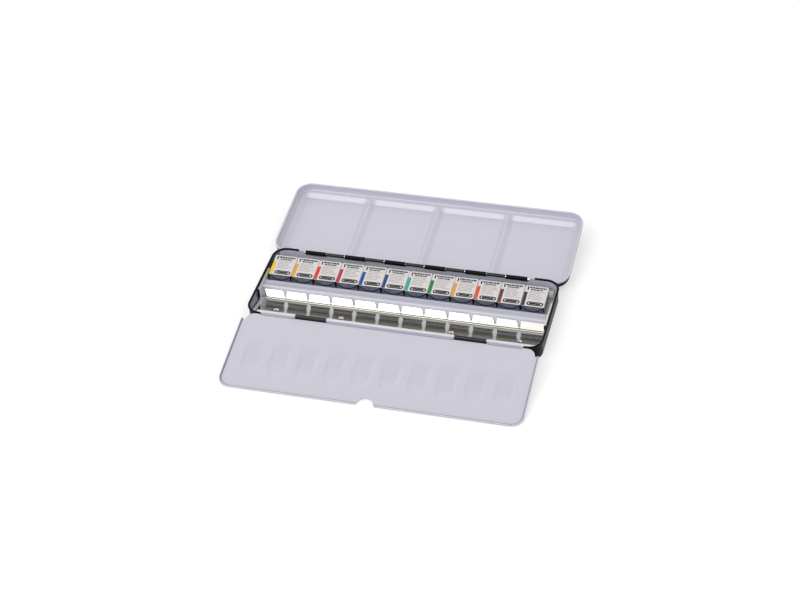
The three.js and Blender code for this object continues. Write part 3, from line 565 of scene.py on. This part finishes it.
def flap_outline():
    """The flap's edge, with slits beside the case's knuckles."""
    out = arc(-FLAP_NECK + 5.5, -6.9, 5.5, 90, 180, 8)
    out += [(-FLAP_NECK, -7), (-FLAP_HALF + 0.7, -7)]
    out += arc(-FLAP_HALF + 8.5, -55.7, 7.8, 180, 270, 12)
    notch = [(-6.5, -63.5), (-5.6, -63.2), (-5.25, -62.4)] + arc(0, -63, 5.2, 172, 8, 14)
    notch += [(5.25, -62.4), (5.6, -63.2), (6.5, -63.5)]
    out += [(x + NOTCH_X, y) for x, y in notch]
    out += arc(FLAP_HALF - 8.5, -55.7, 7.8, 270, 360, 12)
    out += [(FLAP_HALF - 0.7, -7), (FLAP_NECK, -7)]
    out += arc(FLAP_NECK - 5.5, -6.9, 5.5, 0, 90, 8)
    for a, b in reversed(FRONT_KNUCKLES):
        right, left = b + SIDE_GAP, a - SIDE_GAP
        out += [(right, -1.4), (right, -1.8), (left, -1.8), (left, -1.4)]
    return out


def thumb_depth(x, y):
    """How deep the thumb wells lie: a round near end, and a floor that runs out towards the hinge."""
    total = np.zeros_like(x)
    for c in THUMB_WELLS:
        across = np.where(y < THUMB_NEAR, np.hypot(x - c, y - THUMB_NEAR), np.abs(x - c))
        wall = smooth_step((THUMB_RADIUS - across) / THUMB_WALL)
        total = np.maximum(total, wall * smooth_step((-22 - y) / 20))
    return total


def flap_hem():
    """The rolled hem round three sides, with painted shade in darker enamel on its inner face and on its
    lower outer face.
    """
    area = (-101.9, 101.9, -63.5, -0.7, 7.8)
    rings = [ring(area, g, z, 14) for g, z in arc(0, FLAP_UNDER + 0.7, 0.7, 0, 337.5, 15)]
    # Band 1 (inner face) and band 2 (lower outer face) are painted shade.
    bands = [0] * 4 + [1] * 5 + [0] * 4 + [2] * 3
    verts, faces, indices = skin(rings, closed=True, bands=bands)
    hem = obj_from("flap_hem", verts, faces, [FLAP_ENAMEL, SHADED_ENAMEL, UNDER_SHADE_ENAMEL], indices)
    cut(hem, [box(-110, 110, -7, 5, -5, 5)])
    cut(hem, [skin([ring((NOTCH_X - 6.2, NOTCH_X + 6.2, -70, -57.8, 5.0), 0, z, 10) for z in (-5, 5)])])
    return hem


def make_flap():
    """The plate, hem and knuckles, dropped until the near edge is on the table."""
    plate = sheet("flap_sheet", [flap_outline()], lines(-102, 102, 0.85), lines(-63.5, -1, 1.1),
                  lambda u, v: (u, v, FLAP_TOP - thumb_depth(u, v)), SHEET, [FLAP_ENAMEL], (0, 0, 0))
    hem = flap_hem()
    parts = []
    for a, b in ((-90, -66.2), (-43.8, 43.8), (66.2, 90)):
        parts.append(tube(a, b, 0, 0, 0.75, 0.58, 1))
        parts.append(box(a, b, -2.4, 0, FLAP_UNDER, FLAP_TOP))
    verts, faces, indices = merged(*parts)
    knuckles = obj_from("flap_knuckles", verts, faces, [FLAP_ENAMEL, KNUCKLE_ENAMEL_LIT], indices)
    for piece in (plate, hem, knuckles):
        placed(piece, FRONT_Y, FRONT_Z, FLAP_DROP)
        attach(piece, "flap")
        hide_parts("palette_flap")


make_case()
make_lid()
make_flap()


# The pan tray and the holder strips

TRAY_LOW, TRAY_TOP = 0.7, 1.1
STRIP_TOP = 1.7
TRAY_SHEET = 0.4
TRAY_WALL_Y, TRAY_WALL_TOP = 30.7, 7.5
ROW_X0, PITCH, SEATS = -99.3, 16.46, 12
ROW_X1 = ROW_X0 + PITCH * SEATS


def bend(points, radii, steps=5):
    """A bent line with rounded folds: lengths along it and a function from length to place and normal."""
    pts = [np.array(p, float) for p in points]
    line = [pts[0]]
    for i in range(1, len(pts) - 1):
        a, b, c = pts[i - 1], pts[i], pts[i + 1]
        u, w = (a - b) / np.linalg.norm(a - b), (c - b) / np.linalg.norm(c - b)
        half = math.acos(max(-1, min(1, float(u @ w)))) / 2
        back = radii[i - 1] / math.tan(half)
        p, q = b + u * back, b + w * back
        for k in range(steps + 1):
            t = k / steps
            line.append((1 - t) ** 2 * p + 2 * t * (1 - t) * b + t * t * q)
    line.append(pts[-1])
    line = np.array(line)
    gaps = np.linalg.norm(np.diff(line, axis=0), axis=1)
    stations = np.concatenate([[0], np.cumsum(gaps)])
    return line, stations


def on_line(line, stations):
    """A function that lays a flat sheet along a bent line."""
    def place(u, v):
        return u, np.interp(v, stations, line[:, 0]), np.interp(v, stations, line[:, 1])
    return place


TRAY_X0, TRAY_X1 = ROW_X0 - 1.0, ROW_X1 + 1.5
TRAY_END = 101.225  # to the outside of the flanges, either way from the middle
UPSTAND = (-10.5, 13.5)


def tray_sheet():
    """The two troughs with the ridge between them."""
    near = [(-6.4, TRAY_TOP), (-6.4, 2.9), (-3.9, 7.0)] + arc(-2.4, 7.5, 1.5, 180, 90, 8)
    ridge = near + [(-y, z) for y, z in reversed(near)]
    line = [(-TRAY_WALL_Y, TRAY_WALL_TOP), (-TRAY_WALL_Y, TRAY_TOP)] + ridge
    line += [(TRAY_WALL_Y, TRAY_TOP), (TRAY_WALL_Y, TRAY_WALL_TOP)]
    # The ridge's near slope and edge take the lighter enamel, painted light; its flat top takes the grey,
    # painted shade.
    bands = [0] * (len(line) - 1)
    bands[4:len(near) + 1] = [1] * (len(near) - 3)
    bands[len(near) + 1] = 2
    verts, faces, indices = channel(line, bands, TRAY_X0, TRAY_X1, TRAY_SHEET)
    return obj_from("tray_sheet", verts, faces, [TRAY_ENAMEL, RIDGE_EDGE_LIT, RIDGE_TOP_SHADE], indices)


def tray_ends():
    """End walls, upstands, and at the left a strip of enamel that follows the bowed floor. Their enamel is
    the lighter copy, painted light; the near-black pieces in the gaps are painted shade.
    """
    pale, tin, dark = range(3)
    inner0, inner1 = TRAY_X0 + TRAY_SHEET, TRAY_X1 - TRAY_SHEET
    # The front part of the right end wall is near black: painted shade.
    parts = [box(TRAY_X0, inner0, UPSTAND[0], TRAY_WALL_Y, TRAY_LOW, TRAY_WALL_TOP, pale),
             box(inner1, TRAY_X1, -12, TRAY_WALL_Y, TRAY_LOW, 7.2, tin),
             box(inner1, TRAY_X1, -TRAY_WALL_Y, -12, TRAY_LOW, 4.0, dark)]
    for a, b in ((-TRAY_END, TRAY_X0 + 0.2), (TRAY_X1 - 0.2, TRAY_END)):
        parts.append(box(a, b, -3.9, 3.9, 8.6, 9.0, pale))
    for a, b, edge in ((-TRAY_END, inner0, TRAY_X0), (inner1, TRAY_END, inner1)):
        parts.append(box(a, b, *UPSTAND, 10.1, 10.5, tin))
        parts.append(box(edge, edge + TRAY_SHEET, *UPSTAND, 7.0, 10.3, pale))
        # A near-black strip at each upstand's near end: painted shade.
        parts.append(box(a, b, UPSTAND[0] - 0.35, UPSTAND[0] - 0.05, 4.0, 10.9, dark))
    bow, _ = strip_line(True)
    slope = [(-out, level - 0.03) for out, level in reversed(bow[2:-2])]
    # Beside the pale strip, a near-black strip in the gap by the case wall: painted shade.
    for x0, x1, index in ((-100.9, ROW_X0 + 1.3, pale), (-101.45, -100.9, dark)):
        parts.append(channel(slope, [index] * (len(slope) - 1), x0, x1, TRAY_SHEET))
    verts, faces, indices = merged(*parts)
    return obj_from("tray_ends", verts, faces, [RIDGE_EDGE_LIT, DULL_TIN, BLACK_SHADE], indices)


def make_tray():
    for piece in (tray_sheet(), tray_ends()):
        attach(piece, "case")
        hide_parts("pan_tray")


INNER, OUTER = 7.6, 27.0  # the strip's creases, from the middle of the box
CREASE, TAB_TOP = 2.9, 6.9  # heights
REAR_CREASE = 3.74
BOW_START, BOW_RADIUS, BOW_LEAN = 9.0, 36.0, 18.5  # the lean at the bow's end is in degrees
BOW_END = 24.5
FLARE = 3.1  # how far a tab leans out
STRIP_SHEET = 0.35
STRIP_X0, STRIP_X1 = ROW_X0 + 1.2, ROW_X1 + 1.0  # ends of the front strip


def strip_line(bowed):
    """A strip across its row, outwards from the box's middle, with the radius of each fold."""
    points = [(INNER - FLARE, TAB_TOP), (INNER, CREASE), (INNER, STRIP_TOP)]
    folds = [0.12, 0.5]
    if bowed:
        bow = arc(BOW_START, STRIP_TOP + BOW_RADIUS, BOW_RADIUS, -90, BOW_LEAN - 90, 18)
        bow.append((BOW_END, bow[-1][1] + (BOW_END - bow[-1][0]) * math.tan(math.radians(BOW_LEAN))))
        points += bow + [(OUTER, bow[-1][1]), (OUTER, bow[-1][1] + 0.5)]
        folds += [0.5] * len(bow) + [0.2, 0.1]
    else:
        points += [(OUTER, STRIP_TOP), (OUTER, REAR_CREASE)]
        folds += [1.1, 0.12]
    return points + [(OUTER + FLARE, TAB_TOP)], folds


def slot_loop(c, tab):
    """A slot between two tabs, from the tabs' tops down, in lengths along the strip's line."""
    foot = tab - 0.89
    mouth = [(c - 2.7, 0), (c - 2.3, 0.25), (c - 1.9, 0.7), (c - 1.1, 2.2)]
    round_foot = [(c + px, foot - 0.85 + py) for px, py in arc(0, 0, 0.85, 180, 0, 6)]
    return mouth + round_foot + [(c + 0.85, 0.55), (c + 0.95, 0.2), (c + 1.2, 0)]


def make_strip(name, side):
    """A holder strip with its tabs; side is -1 for the front row and 1 for the rear row."""
    points, folds = strip_line(side < 0)
    line, stations = bend(points, folds)
    line[:, 0] *= side
    whole = stations[-1]
    inner_tab = math.hypot(FLARE, TAB_TOP - CREASE)
    outer_tab = math.hypot(FLARE, TAB_TOP - points[-2][1])
    seams = [ROW_X0 + i * PITCH for i in range(1, SEATS)]
    low_side = [p for c in seams for p in slot_loop(c, inner_tab)]
    high_side = [(x, whole - y) for c in reversed(seams) for x, y in reversed(slot_loop(c, outer_tab))]
    left, right = (STRIP_X0, STRIP_X1) if side < 0 else (ROW_X0, ROW_X1)
    outline = ([(left, 0)] + low_side + [(right, v) for v in stations.tolist()] + high_side
               + [(left, v) for v in stations[::-1].tolist()[:-1]])
    vs = sorted(set(np.round(stations, 4).tolist() + lines(0, inner_tab, 0.8)
                    + lines(whole - outer_tab, whole, 0.8)
                    + lines(inner_tab + 3, whole - outer_tab - 3, 1.5)))
    strip = sheet(name, [outline], lines(ROW_X0, right, 2.0), vs, on_line(line, stations), side * STRIP_SHEET,
                  [TIN if side < 0 else DULL_TIN], (0, 0, 0), 0.12)
    if side < 0:
        strip.data.flip_normals()
        strip.data.materials.append(CREASE_SHADE_TIN)
        # Faces along the crease take the darker tin: painted shade.
        for face in strip.data.polygons:
            _, y, z = face.center / MM
            if abs(y + INNER) < 0.15 and z > STRIP_TOP + 0.4:
                face.material_index = 1
    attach(strip, "case")
    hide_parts(name.replace("strip_", "holder_strip_"))


def rivet_metal():
    """Copper-washed rivet steel for the domes: bright, with patches of brown stain."""
    mat, tree, shader = material("rivet_metal", "d6cec8", 0.16, 0.9)
    stain = spread(tree, noise(tree, 500, 3), 0.45, 0.7)
    tree.links.new(blend_colour(tree, stain, "dcd6d0", "8c7c74"), shader.inputs["Base Color"])
    return mat


def make_rivets():
    """The four rivet heads of the empty row, each in a pressed ring that is near black as painted shade."""
    metal = rivet_metal()
    out = 21.2
    lean = math.radians(BOW_LEAN)
    run = out - BOW_START - BOW_RADIUS * math.sin(lean)
    level = STRIP_TOP + BOW_RADIUS * (1 - math.cos(lean)) + run * math.tan(lean)
    profile = [(2.7, -0.3), (2.7, 0.1), (2.3, 0.14), (2.2, 0.08),
               (2.0, 0.32), (1.5, 0.58), (0.9, 0.72), (0.25, 0.76)]
    # The ring's bands are near black, painted shade; the dome is metal.
    bands = [1, 1, 1, 0, 0, 0, 0]
    for i, share in enumerate((-0.829, -0.376, 0.376, 0.829)):
        rings = [[(x, y, z) for x, y in arc(0, 0, r, 0, 360, 28)[:-1]] for r, z in profile]
        verts, faces, indices = skin(rings, bands=bands)
        head = obj_from("rivet_head_%d" % (i + 1), verts, faces, [metal, BLACK_SHADE], indices)
        head.data.transform(Matrix.Translation(Vector((share * CASE_HALF, -out, level)) * MM)
                            @ Matrix.Rotation(-lean, 4, "X"))
        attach(head, "case")
        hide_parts("rivet_front_%d" % (i + 1))


make_tray()
make_strip("strip_front", -1)
make_strip("strip_rear", 1)
make_rivets()


# The wrapped pans

STRIPES = ["e9c81e", "e2a637", "dc3b2c", "bd2a4a", "2a4f9f", "1e4675", "2aa998", "1d8244", "dca14a", "dd5630",
           "6b3b30", "3a3134"]
WIDTH, LENGTH, TALL, ROUND = 15.95, 19.2, 9.0, 0.35
PAN_GAP, PAN_LEAN = 0.3, math.radians(6)
LABEL, FOIL, STRIPE, GREY, INK, FOLD_SHADE, PALE = range(7)  # the materials of a wrapper


def paper(name, colour, shine=0.35):
    """Printed label paper: matt, with a faint fibre. In near black it is also painted shade at the foil's
    folds.
    """
    mat, tree, shader = material(name, colour, 0.55, specular=shine)
    bump(tree, shader, noise(tree, 900, 2), 0.00002, 0.3)
    return mat


def crumpled_foil(name, first, second):
    """Painted foil paper: satin, with soft creases."""
    mat, tree, shader = material(name, first, 0.42, 0.25)
    crease = noise(tree, 240, 3, (1, 1, 2.2), 0.6)
    tint = blend_colour(tree, spread(tree, crease, 0.35, 0.65), first, second)
    tree.links.new(tint, shader.inputs["Base Color"])
    bump(tree, shader, crease, 0.0002, 0.6)
    return mat


def plate(x0, x1, y0, y1, z, index):
    """A flat patch of print just above the label."""
    return box(x0, x1, y0, y1, z, z + 0.03, index)


def words(chance, x0, x1, y, tall, z):
    """A line of print as short plain bars."""
    parts, x = [], x0
    while x < x1 - 0.5:
        run = min(chance.uniform(0.7, 2.1), x1 - x)
        parts.append(plate(x, x + run, y, y + tall, z, INK))
        x += run + 0.32
    return parts


def label_print(number):
    """Stripe, lines of print and a plain bar in a ring, as patches on the label."""
    chance = random.Random(number)
    z, left, right = TALL - 0.01, -WIDTH / 2, WIDTH / 2
    parts = [plate(left + 0.2, left + 2.5, 0.12, 12.8, z, STRIPE),
             plate(left + 1.7, left + 2.6, 14.8, 18.0, z, INK),
             plate(left + 0.9, right - 0.9, LENGTH - 1.0, LENGTH - 0.4, z, PALE)]
    parts += words(chance, left + 3.2, right - 1.2, 16.6, 1.3, z)
    parts += words(chance, left + 4.2, right - 3.4, 14.9, 1.05, z)
    for i in range(6):
        end = right - chance.uniform(1.2, 5)
        middle = chance.uniform(left + 6, end - 2)
        level = 13.4 - i * 1.42
        parts += [plate(left + 3.6, middle - 0.25, level, level + 0.7, z, GREY),
                  plate(middle + 0.25, end, level, level + 0.7, z, GREY)]
    x0, x1 = left + 3.6, right - 0.8
    for grow, rise, index in ((0, 0.03, INK), (-0.9, 0.05, LABEL)):
        area = (x0, x1, 0.9, 4.3, 1.7)
        parts.append(skin([ring(area, grow, level, 6) for level in (z, z + rise)], bands=[index]))
    parts.append(plate(x0 + 1.8, x1 - 2.0, 2.0, 3.2, z + 0.05, INK))
    return parts


def end_fold():
    """The foil folded over the front end: an apron with a sagging edge, and tucks at the corners. The
    near-black lines along the sagging edge, under the label's edge and at the tucks are painted shade.
    """
    half, top, sag = WIDTH / 2 - 0.1, TALL - 0.4, 4.5
    curve = [(half * (1 - i / 8), top - sag * (1 - (1 - i / 8) ** 2)) for i in range(17)]
    parts = [skin([[(x, y, z) for x, z in curve] for y in (0.05, -0.16)], bands=[FOIL])]
    for (ax, az), (bx, bz) in zip(curve, curve[1:]):
        across = np.array([-(bz - az), bx - ax])
        across = across / np.linalg.norm(across) * 0.33
        quad = [(ax + across[0], az + across[1]), (bx + across[0], bz + across[1]),
                (bx - across[0], bz - across[1]), (ax - across[0], az - across[1])]
        parts.append(skin([[(x, y, z) for x, z in quad] for y in (0.0, -0.24)], bands=[FOLD_SHADE]))
    parts.append(box(-half, half, -0.2, 0.1, top - 0.15, top + 0.1, FOLD_SHADE))
    for side in (-1, 1):
        x = side * (half + 0.2)
        x0, x1 = sorted((x, x - side * 0.55))
        parts.append(box(x0, x1, -0.26, 0.1, top - 3.8, top, FOLD_SHADE))
    return parts


def wrapped_body():
    """The wrapped pan as one rounded block: foil round its foot, a lighter foil as painted light over its
    front, paper elsewhere.
    """
    area = (-WIDTH / 2, WIDTH / 2, 0, LENGTH, 0.9)
    steps = 4
    heights = [(0, 0.5), (0, TALL - 2)] + arc(-ROUND, TALL - ROUND, ROUND, 0, 90, 5)
    rings = [ring(area, g, z, steps) for g, z in heights]
    verts, faces, indices = skin(rings, bands=[PALE] + [LABEL] * (len(rings) - 2))
    size = len(rings[0])
    indices[:size] = [FOIL] * size
    # The near end and its corners take the pale foil: the slate foil made lighter, painted light where the
    # ridge shades it.
    for i in range(size):
        if i < steps or i > size - steps - 2:
            indices[size + i] = PALE
    return verts, faces, indices


def make_wrapper(index, mats):
    """One wrapped pan in its seat, leaning back a little."""
    number = "%02d" % (index + 1)
    stripe = paper("stripe_print_" + number, STRIPES[index])
    whole = merged(wrapped_body(), *label_print(index), *end_fold())
    obj = obj_from("wrap_" + number, *whole[:2], mats[:STRIPE] + [stripe] + mats[STRIPE:], whole[2])
    chance = random.Random(100 + index)
    foot = Vector((ROW_X0 + (WIDTH + PAN_GAP) * (index + 1) - WIDTH / 2, INNER + 0.5, STRIP_TOP + 0.25)) * MM
    lean, turn = (math.radians(chance.uniform(-0.35, 0.35)) for _ in range(2))
    obj.data.transform(Matrix.Translation(foot) @ Matrix.Rotation(PAN_LEAN + lean, 4, "X")
                       @ Matrix.Rotation(turn, 4, "Z"))
    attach(obj, "case")
    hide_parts("wrapper_" + number)


def make_pans():
    mats = [paper("label_paper", "dbd6d6"),
            crumpled_foil("slate_foil", "6c7286", "8a90a4"),
            paper("grey_print", "b6b0b1"),
            paper("dark_print", "121114", 0.05),
            # Near black for the folds and the line under the label's edge: painted shade.
            paper("dark_paper_fold", "0b0c0f", 0.1),
            # The pale foil is the slate foil made lighter, painted light; it also colours the strip along the
            # label's rear edge.
            crumpled_foil("pale_foil", "c0c4d0", "dcdfe8")]
    for i in range(len(STRIPES)):
        make_wrapper(i, mats)


make_pans()


# Pieces carried over from the model

def half_pan_plastic():
    """White polystyrene, a little glossy, with a faint flow mark."""
    mat, tree, shader = material("pan_polystyrene", "f1f0ec", 0.3)
    tree.links.new(spread(tree, noise(tree, 180, 2), 0, 1, 0.25, 0.4), shader.inputs["Roughness"])
    return mat


def cast_paint(name, colour):
    """Dried watercolor: matt and dark, with a soft wavy skin."""
    mat, tree, shader = material(name, colour, 0.6, specular=0.3)
    bump(tree, shader, noise(tree, 320, 3), 0.0003, 0.5)
    return mat


def dress_model():
    """Gives every piece that is carried over from the model its material."""
    plastic = half_pan_plastic()
    for name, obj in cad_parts.items():
        if name.startswith("rivet") or name.endswith("pin"):
            mat = TIN
        elif name.startswith("half_pan"):
            mat = plastic
        elif name.startswith("paint"):
            mat = cast_paint("cast_" + name, STRIPES[int(name[-2:]) - 1])
        else:
            continue
        obj.data.materials.clear()
        obj.data.materials.append(mat)


dress_model()


# Floor, light and camera

FLOOR_GLOW = 0.49  # keeps the floor white where no shadow falls
WORLD_LEVEL = 0.77  # what matt surfaces get from the world


def math_node(tree, kind, first, second):
    """Adds, multiplies or compares two values."""
    return node(tree, "ShaderNodeMath", {0: first, 1: second}, operation=kind).outputs[0]


def light_path(tree):
    """The kinds of ray, and 1 for the rays that show the floor or the world directly."""
    rays = node(tree, "ShaderNodeLightPath").outputs
    seen = math_node(tree, "MAXIMUM", rays["Is Camera Ray"], rays["Is Glossy Ray"])
    return rays, math_node(tree, "MAXIMUM", seen, rays["Is Transmission Ray"])


def make_floor():
    """White paper on the table: its own glow is seen but lights nothing, so that it keeps the shadow."""
    bpy.ops.mesh.primitive_plane_add(size=6)
    floor = bpy.context.active_object
    floor.name = "table"
    mat = bpy.data.materials.new("table_paper")
    mat.use_nodes = True
    tree = mat.node_tree
    tree.nodes.clear()
    diffuse = node(tree, "ShaderNodeBsdfDiffuse", {"Color": (0.6, 0.6, 0.6, 1)})
    strength = math_node(tree, "MULTIPLY", light_path(tree)[1], FLOOR_GLOW)
    glow = node(tree, "ShaderNodeEmission", {"Strength": strength})
    both = node(tree, "ShaderNodeAddShader", {0: diffuse.outputs[0], 1: glow.outputs[0]})
    node(tree, "ShaderNodeOutputMaterial", {"Surface": both.outputs[0]})
    floor.data.materials.append(mat)


def make_world():
    """White for the camera. Mirroring surfaces see a dark cap overhead and soft light in front."""
    world = bpy.data.worlds.new("studio")
    bpy.context.scene.world = world
    world.use_nodes = True
    tree = world.node_tree
    back = tree.nodes["Background"]
    rays, seen = light_path(tree)
    place = node(tree, "ShaderNodeTexCoord").outputs["Generated"]
    way = node(tree, "ShaderNodeSeparateXYZ", {0: place}).outputs

    def ramp(value, low, high, to_low, to_high):
        return spread(tree, value, low, high, to_low, to_high, "SMOOTHSTEP")

    def product(first, second):
        return math_node(tree, "MULTIPLY", first, second)

    cap = product(ramp(way["Z"], 0.75, 0.87, 0, 1), ramp(way["Y"], 0.36, 0.44, 1, 0))
    cap = product(cap, ramp(way["Y"], -0.24, -0.18, 0, 1))
    cap = product(cap, ramp(way["Y"], -0.15, 0.05, 0.8, 0.93))
    front = product(ramp(way["Z"], 0.15, 0.4, 0, 1), ramp(way["Y"], -0.7, -0.4, 0.35, 0))
    box_light = product(ramp(way["Z"], 0.7, 0.78, 0, 1), ramp(way["Y"], -0.35, -0.25, 2.0, 0))
    change = math_node(tree, "SUBTRACT", math_node(tree, "ADD", front, box_light), cap)
    change = product(change, rays["Is Glossy Ray"])
    level = math_node(tree, "ADD", ramp(seen, 0, 1, WORLD_LEVEL, 1.0), change)
    tree.links.new(level, back.inputs["Strength"])
    back.inputs["Color"].default_value = (1, 1, 1, 1)


def lamp(name, place, aim, size, power):
    """A flat soft lamp; place, aim and size are in metres."""
    light = bpy.data.lights.new(name, "AREA")
    light.shape = "RECTANGLE"
    light.size, light.size_y = size
    light.energy = power
    obj = bpy.data.objects.new(name, light)
    bpy.context.scene.collection.objects.link(obj)
    obj.location = place
    obj.rotation_euler = (Vector(aim) - Vector(place)).to_track_quat("-Z", "Y").to_euler()


def make_camera():
    """The photo's view, fitted to the edges of the case, lid and flap."""
    turn, drop, roll = (math.radians(v) for v in (17.44, 39.9, -4.23))
    shift_x, shift_y, far = 2.8, -8.2, 1231.6
    forward = Vector((-math.sin(turn) * math.cos(drop), math.cos(turn) * math.cos(drop), -math.sin(drop)))
    right = Vector((math.cos(turn), math.sin(turn), 0))
    up = right.cross(forward)
    right2 = math.cos(roll) * right + math.sin(roll) * up
    up2 = -math.sin(roll) * right + math.cos(roll) * up
    data = bpy.data.cameras.new("photo_view")
    data.lens = 81.0
    data.sensor_width = 36.0
    data.clip_end = 20
    data.clip_start = 0.01
    camera = bpy.data.objects.new("photo_view", data)
    bpy.context.scene.collection.objects.link(camera)
    place = (-far * forward - shift_x * right2 - shift_y * up2) * MM
    basis = Matrix((right2, up2, -forward)).transposed()
    camera.matrix_world = Matrix.Translation(place) @ basis.to_4x4()
    bpy.context.scene.camera = camera


make_floor()
make_world()
lamp("key", (-0.7, -0.9, 1.2), (0, 0, 0), (1.4, 1.0), 7.4)
lamp("glint", (0.82, -0.02, 1.3), (0, 0.05, 0), (0.25, 0.25), 1.5)
make_camera()
bpy.context.scene.view_settings.view_transform = "Standard"
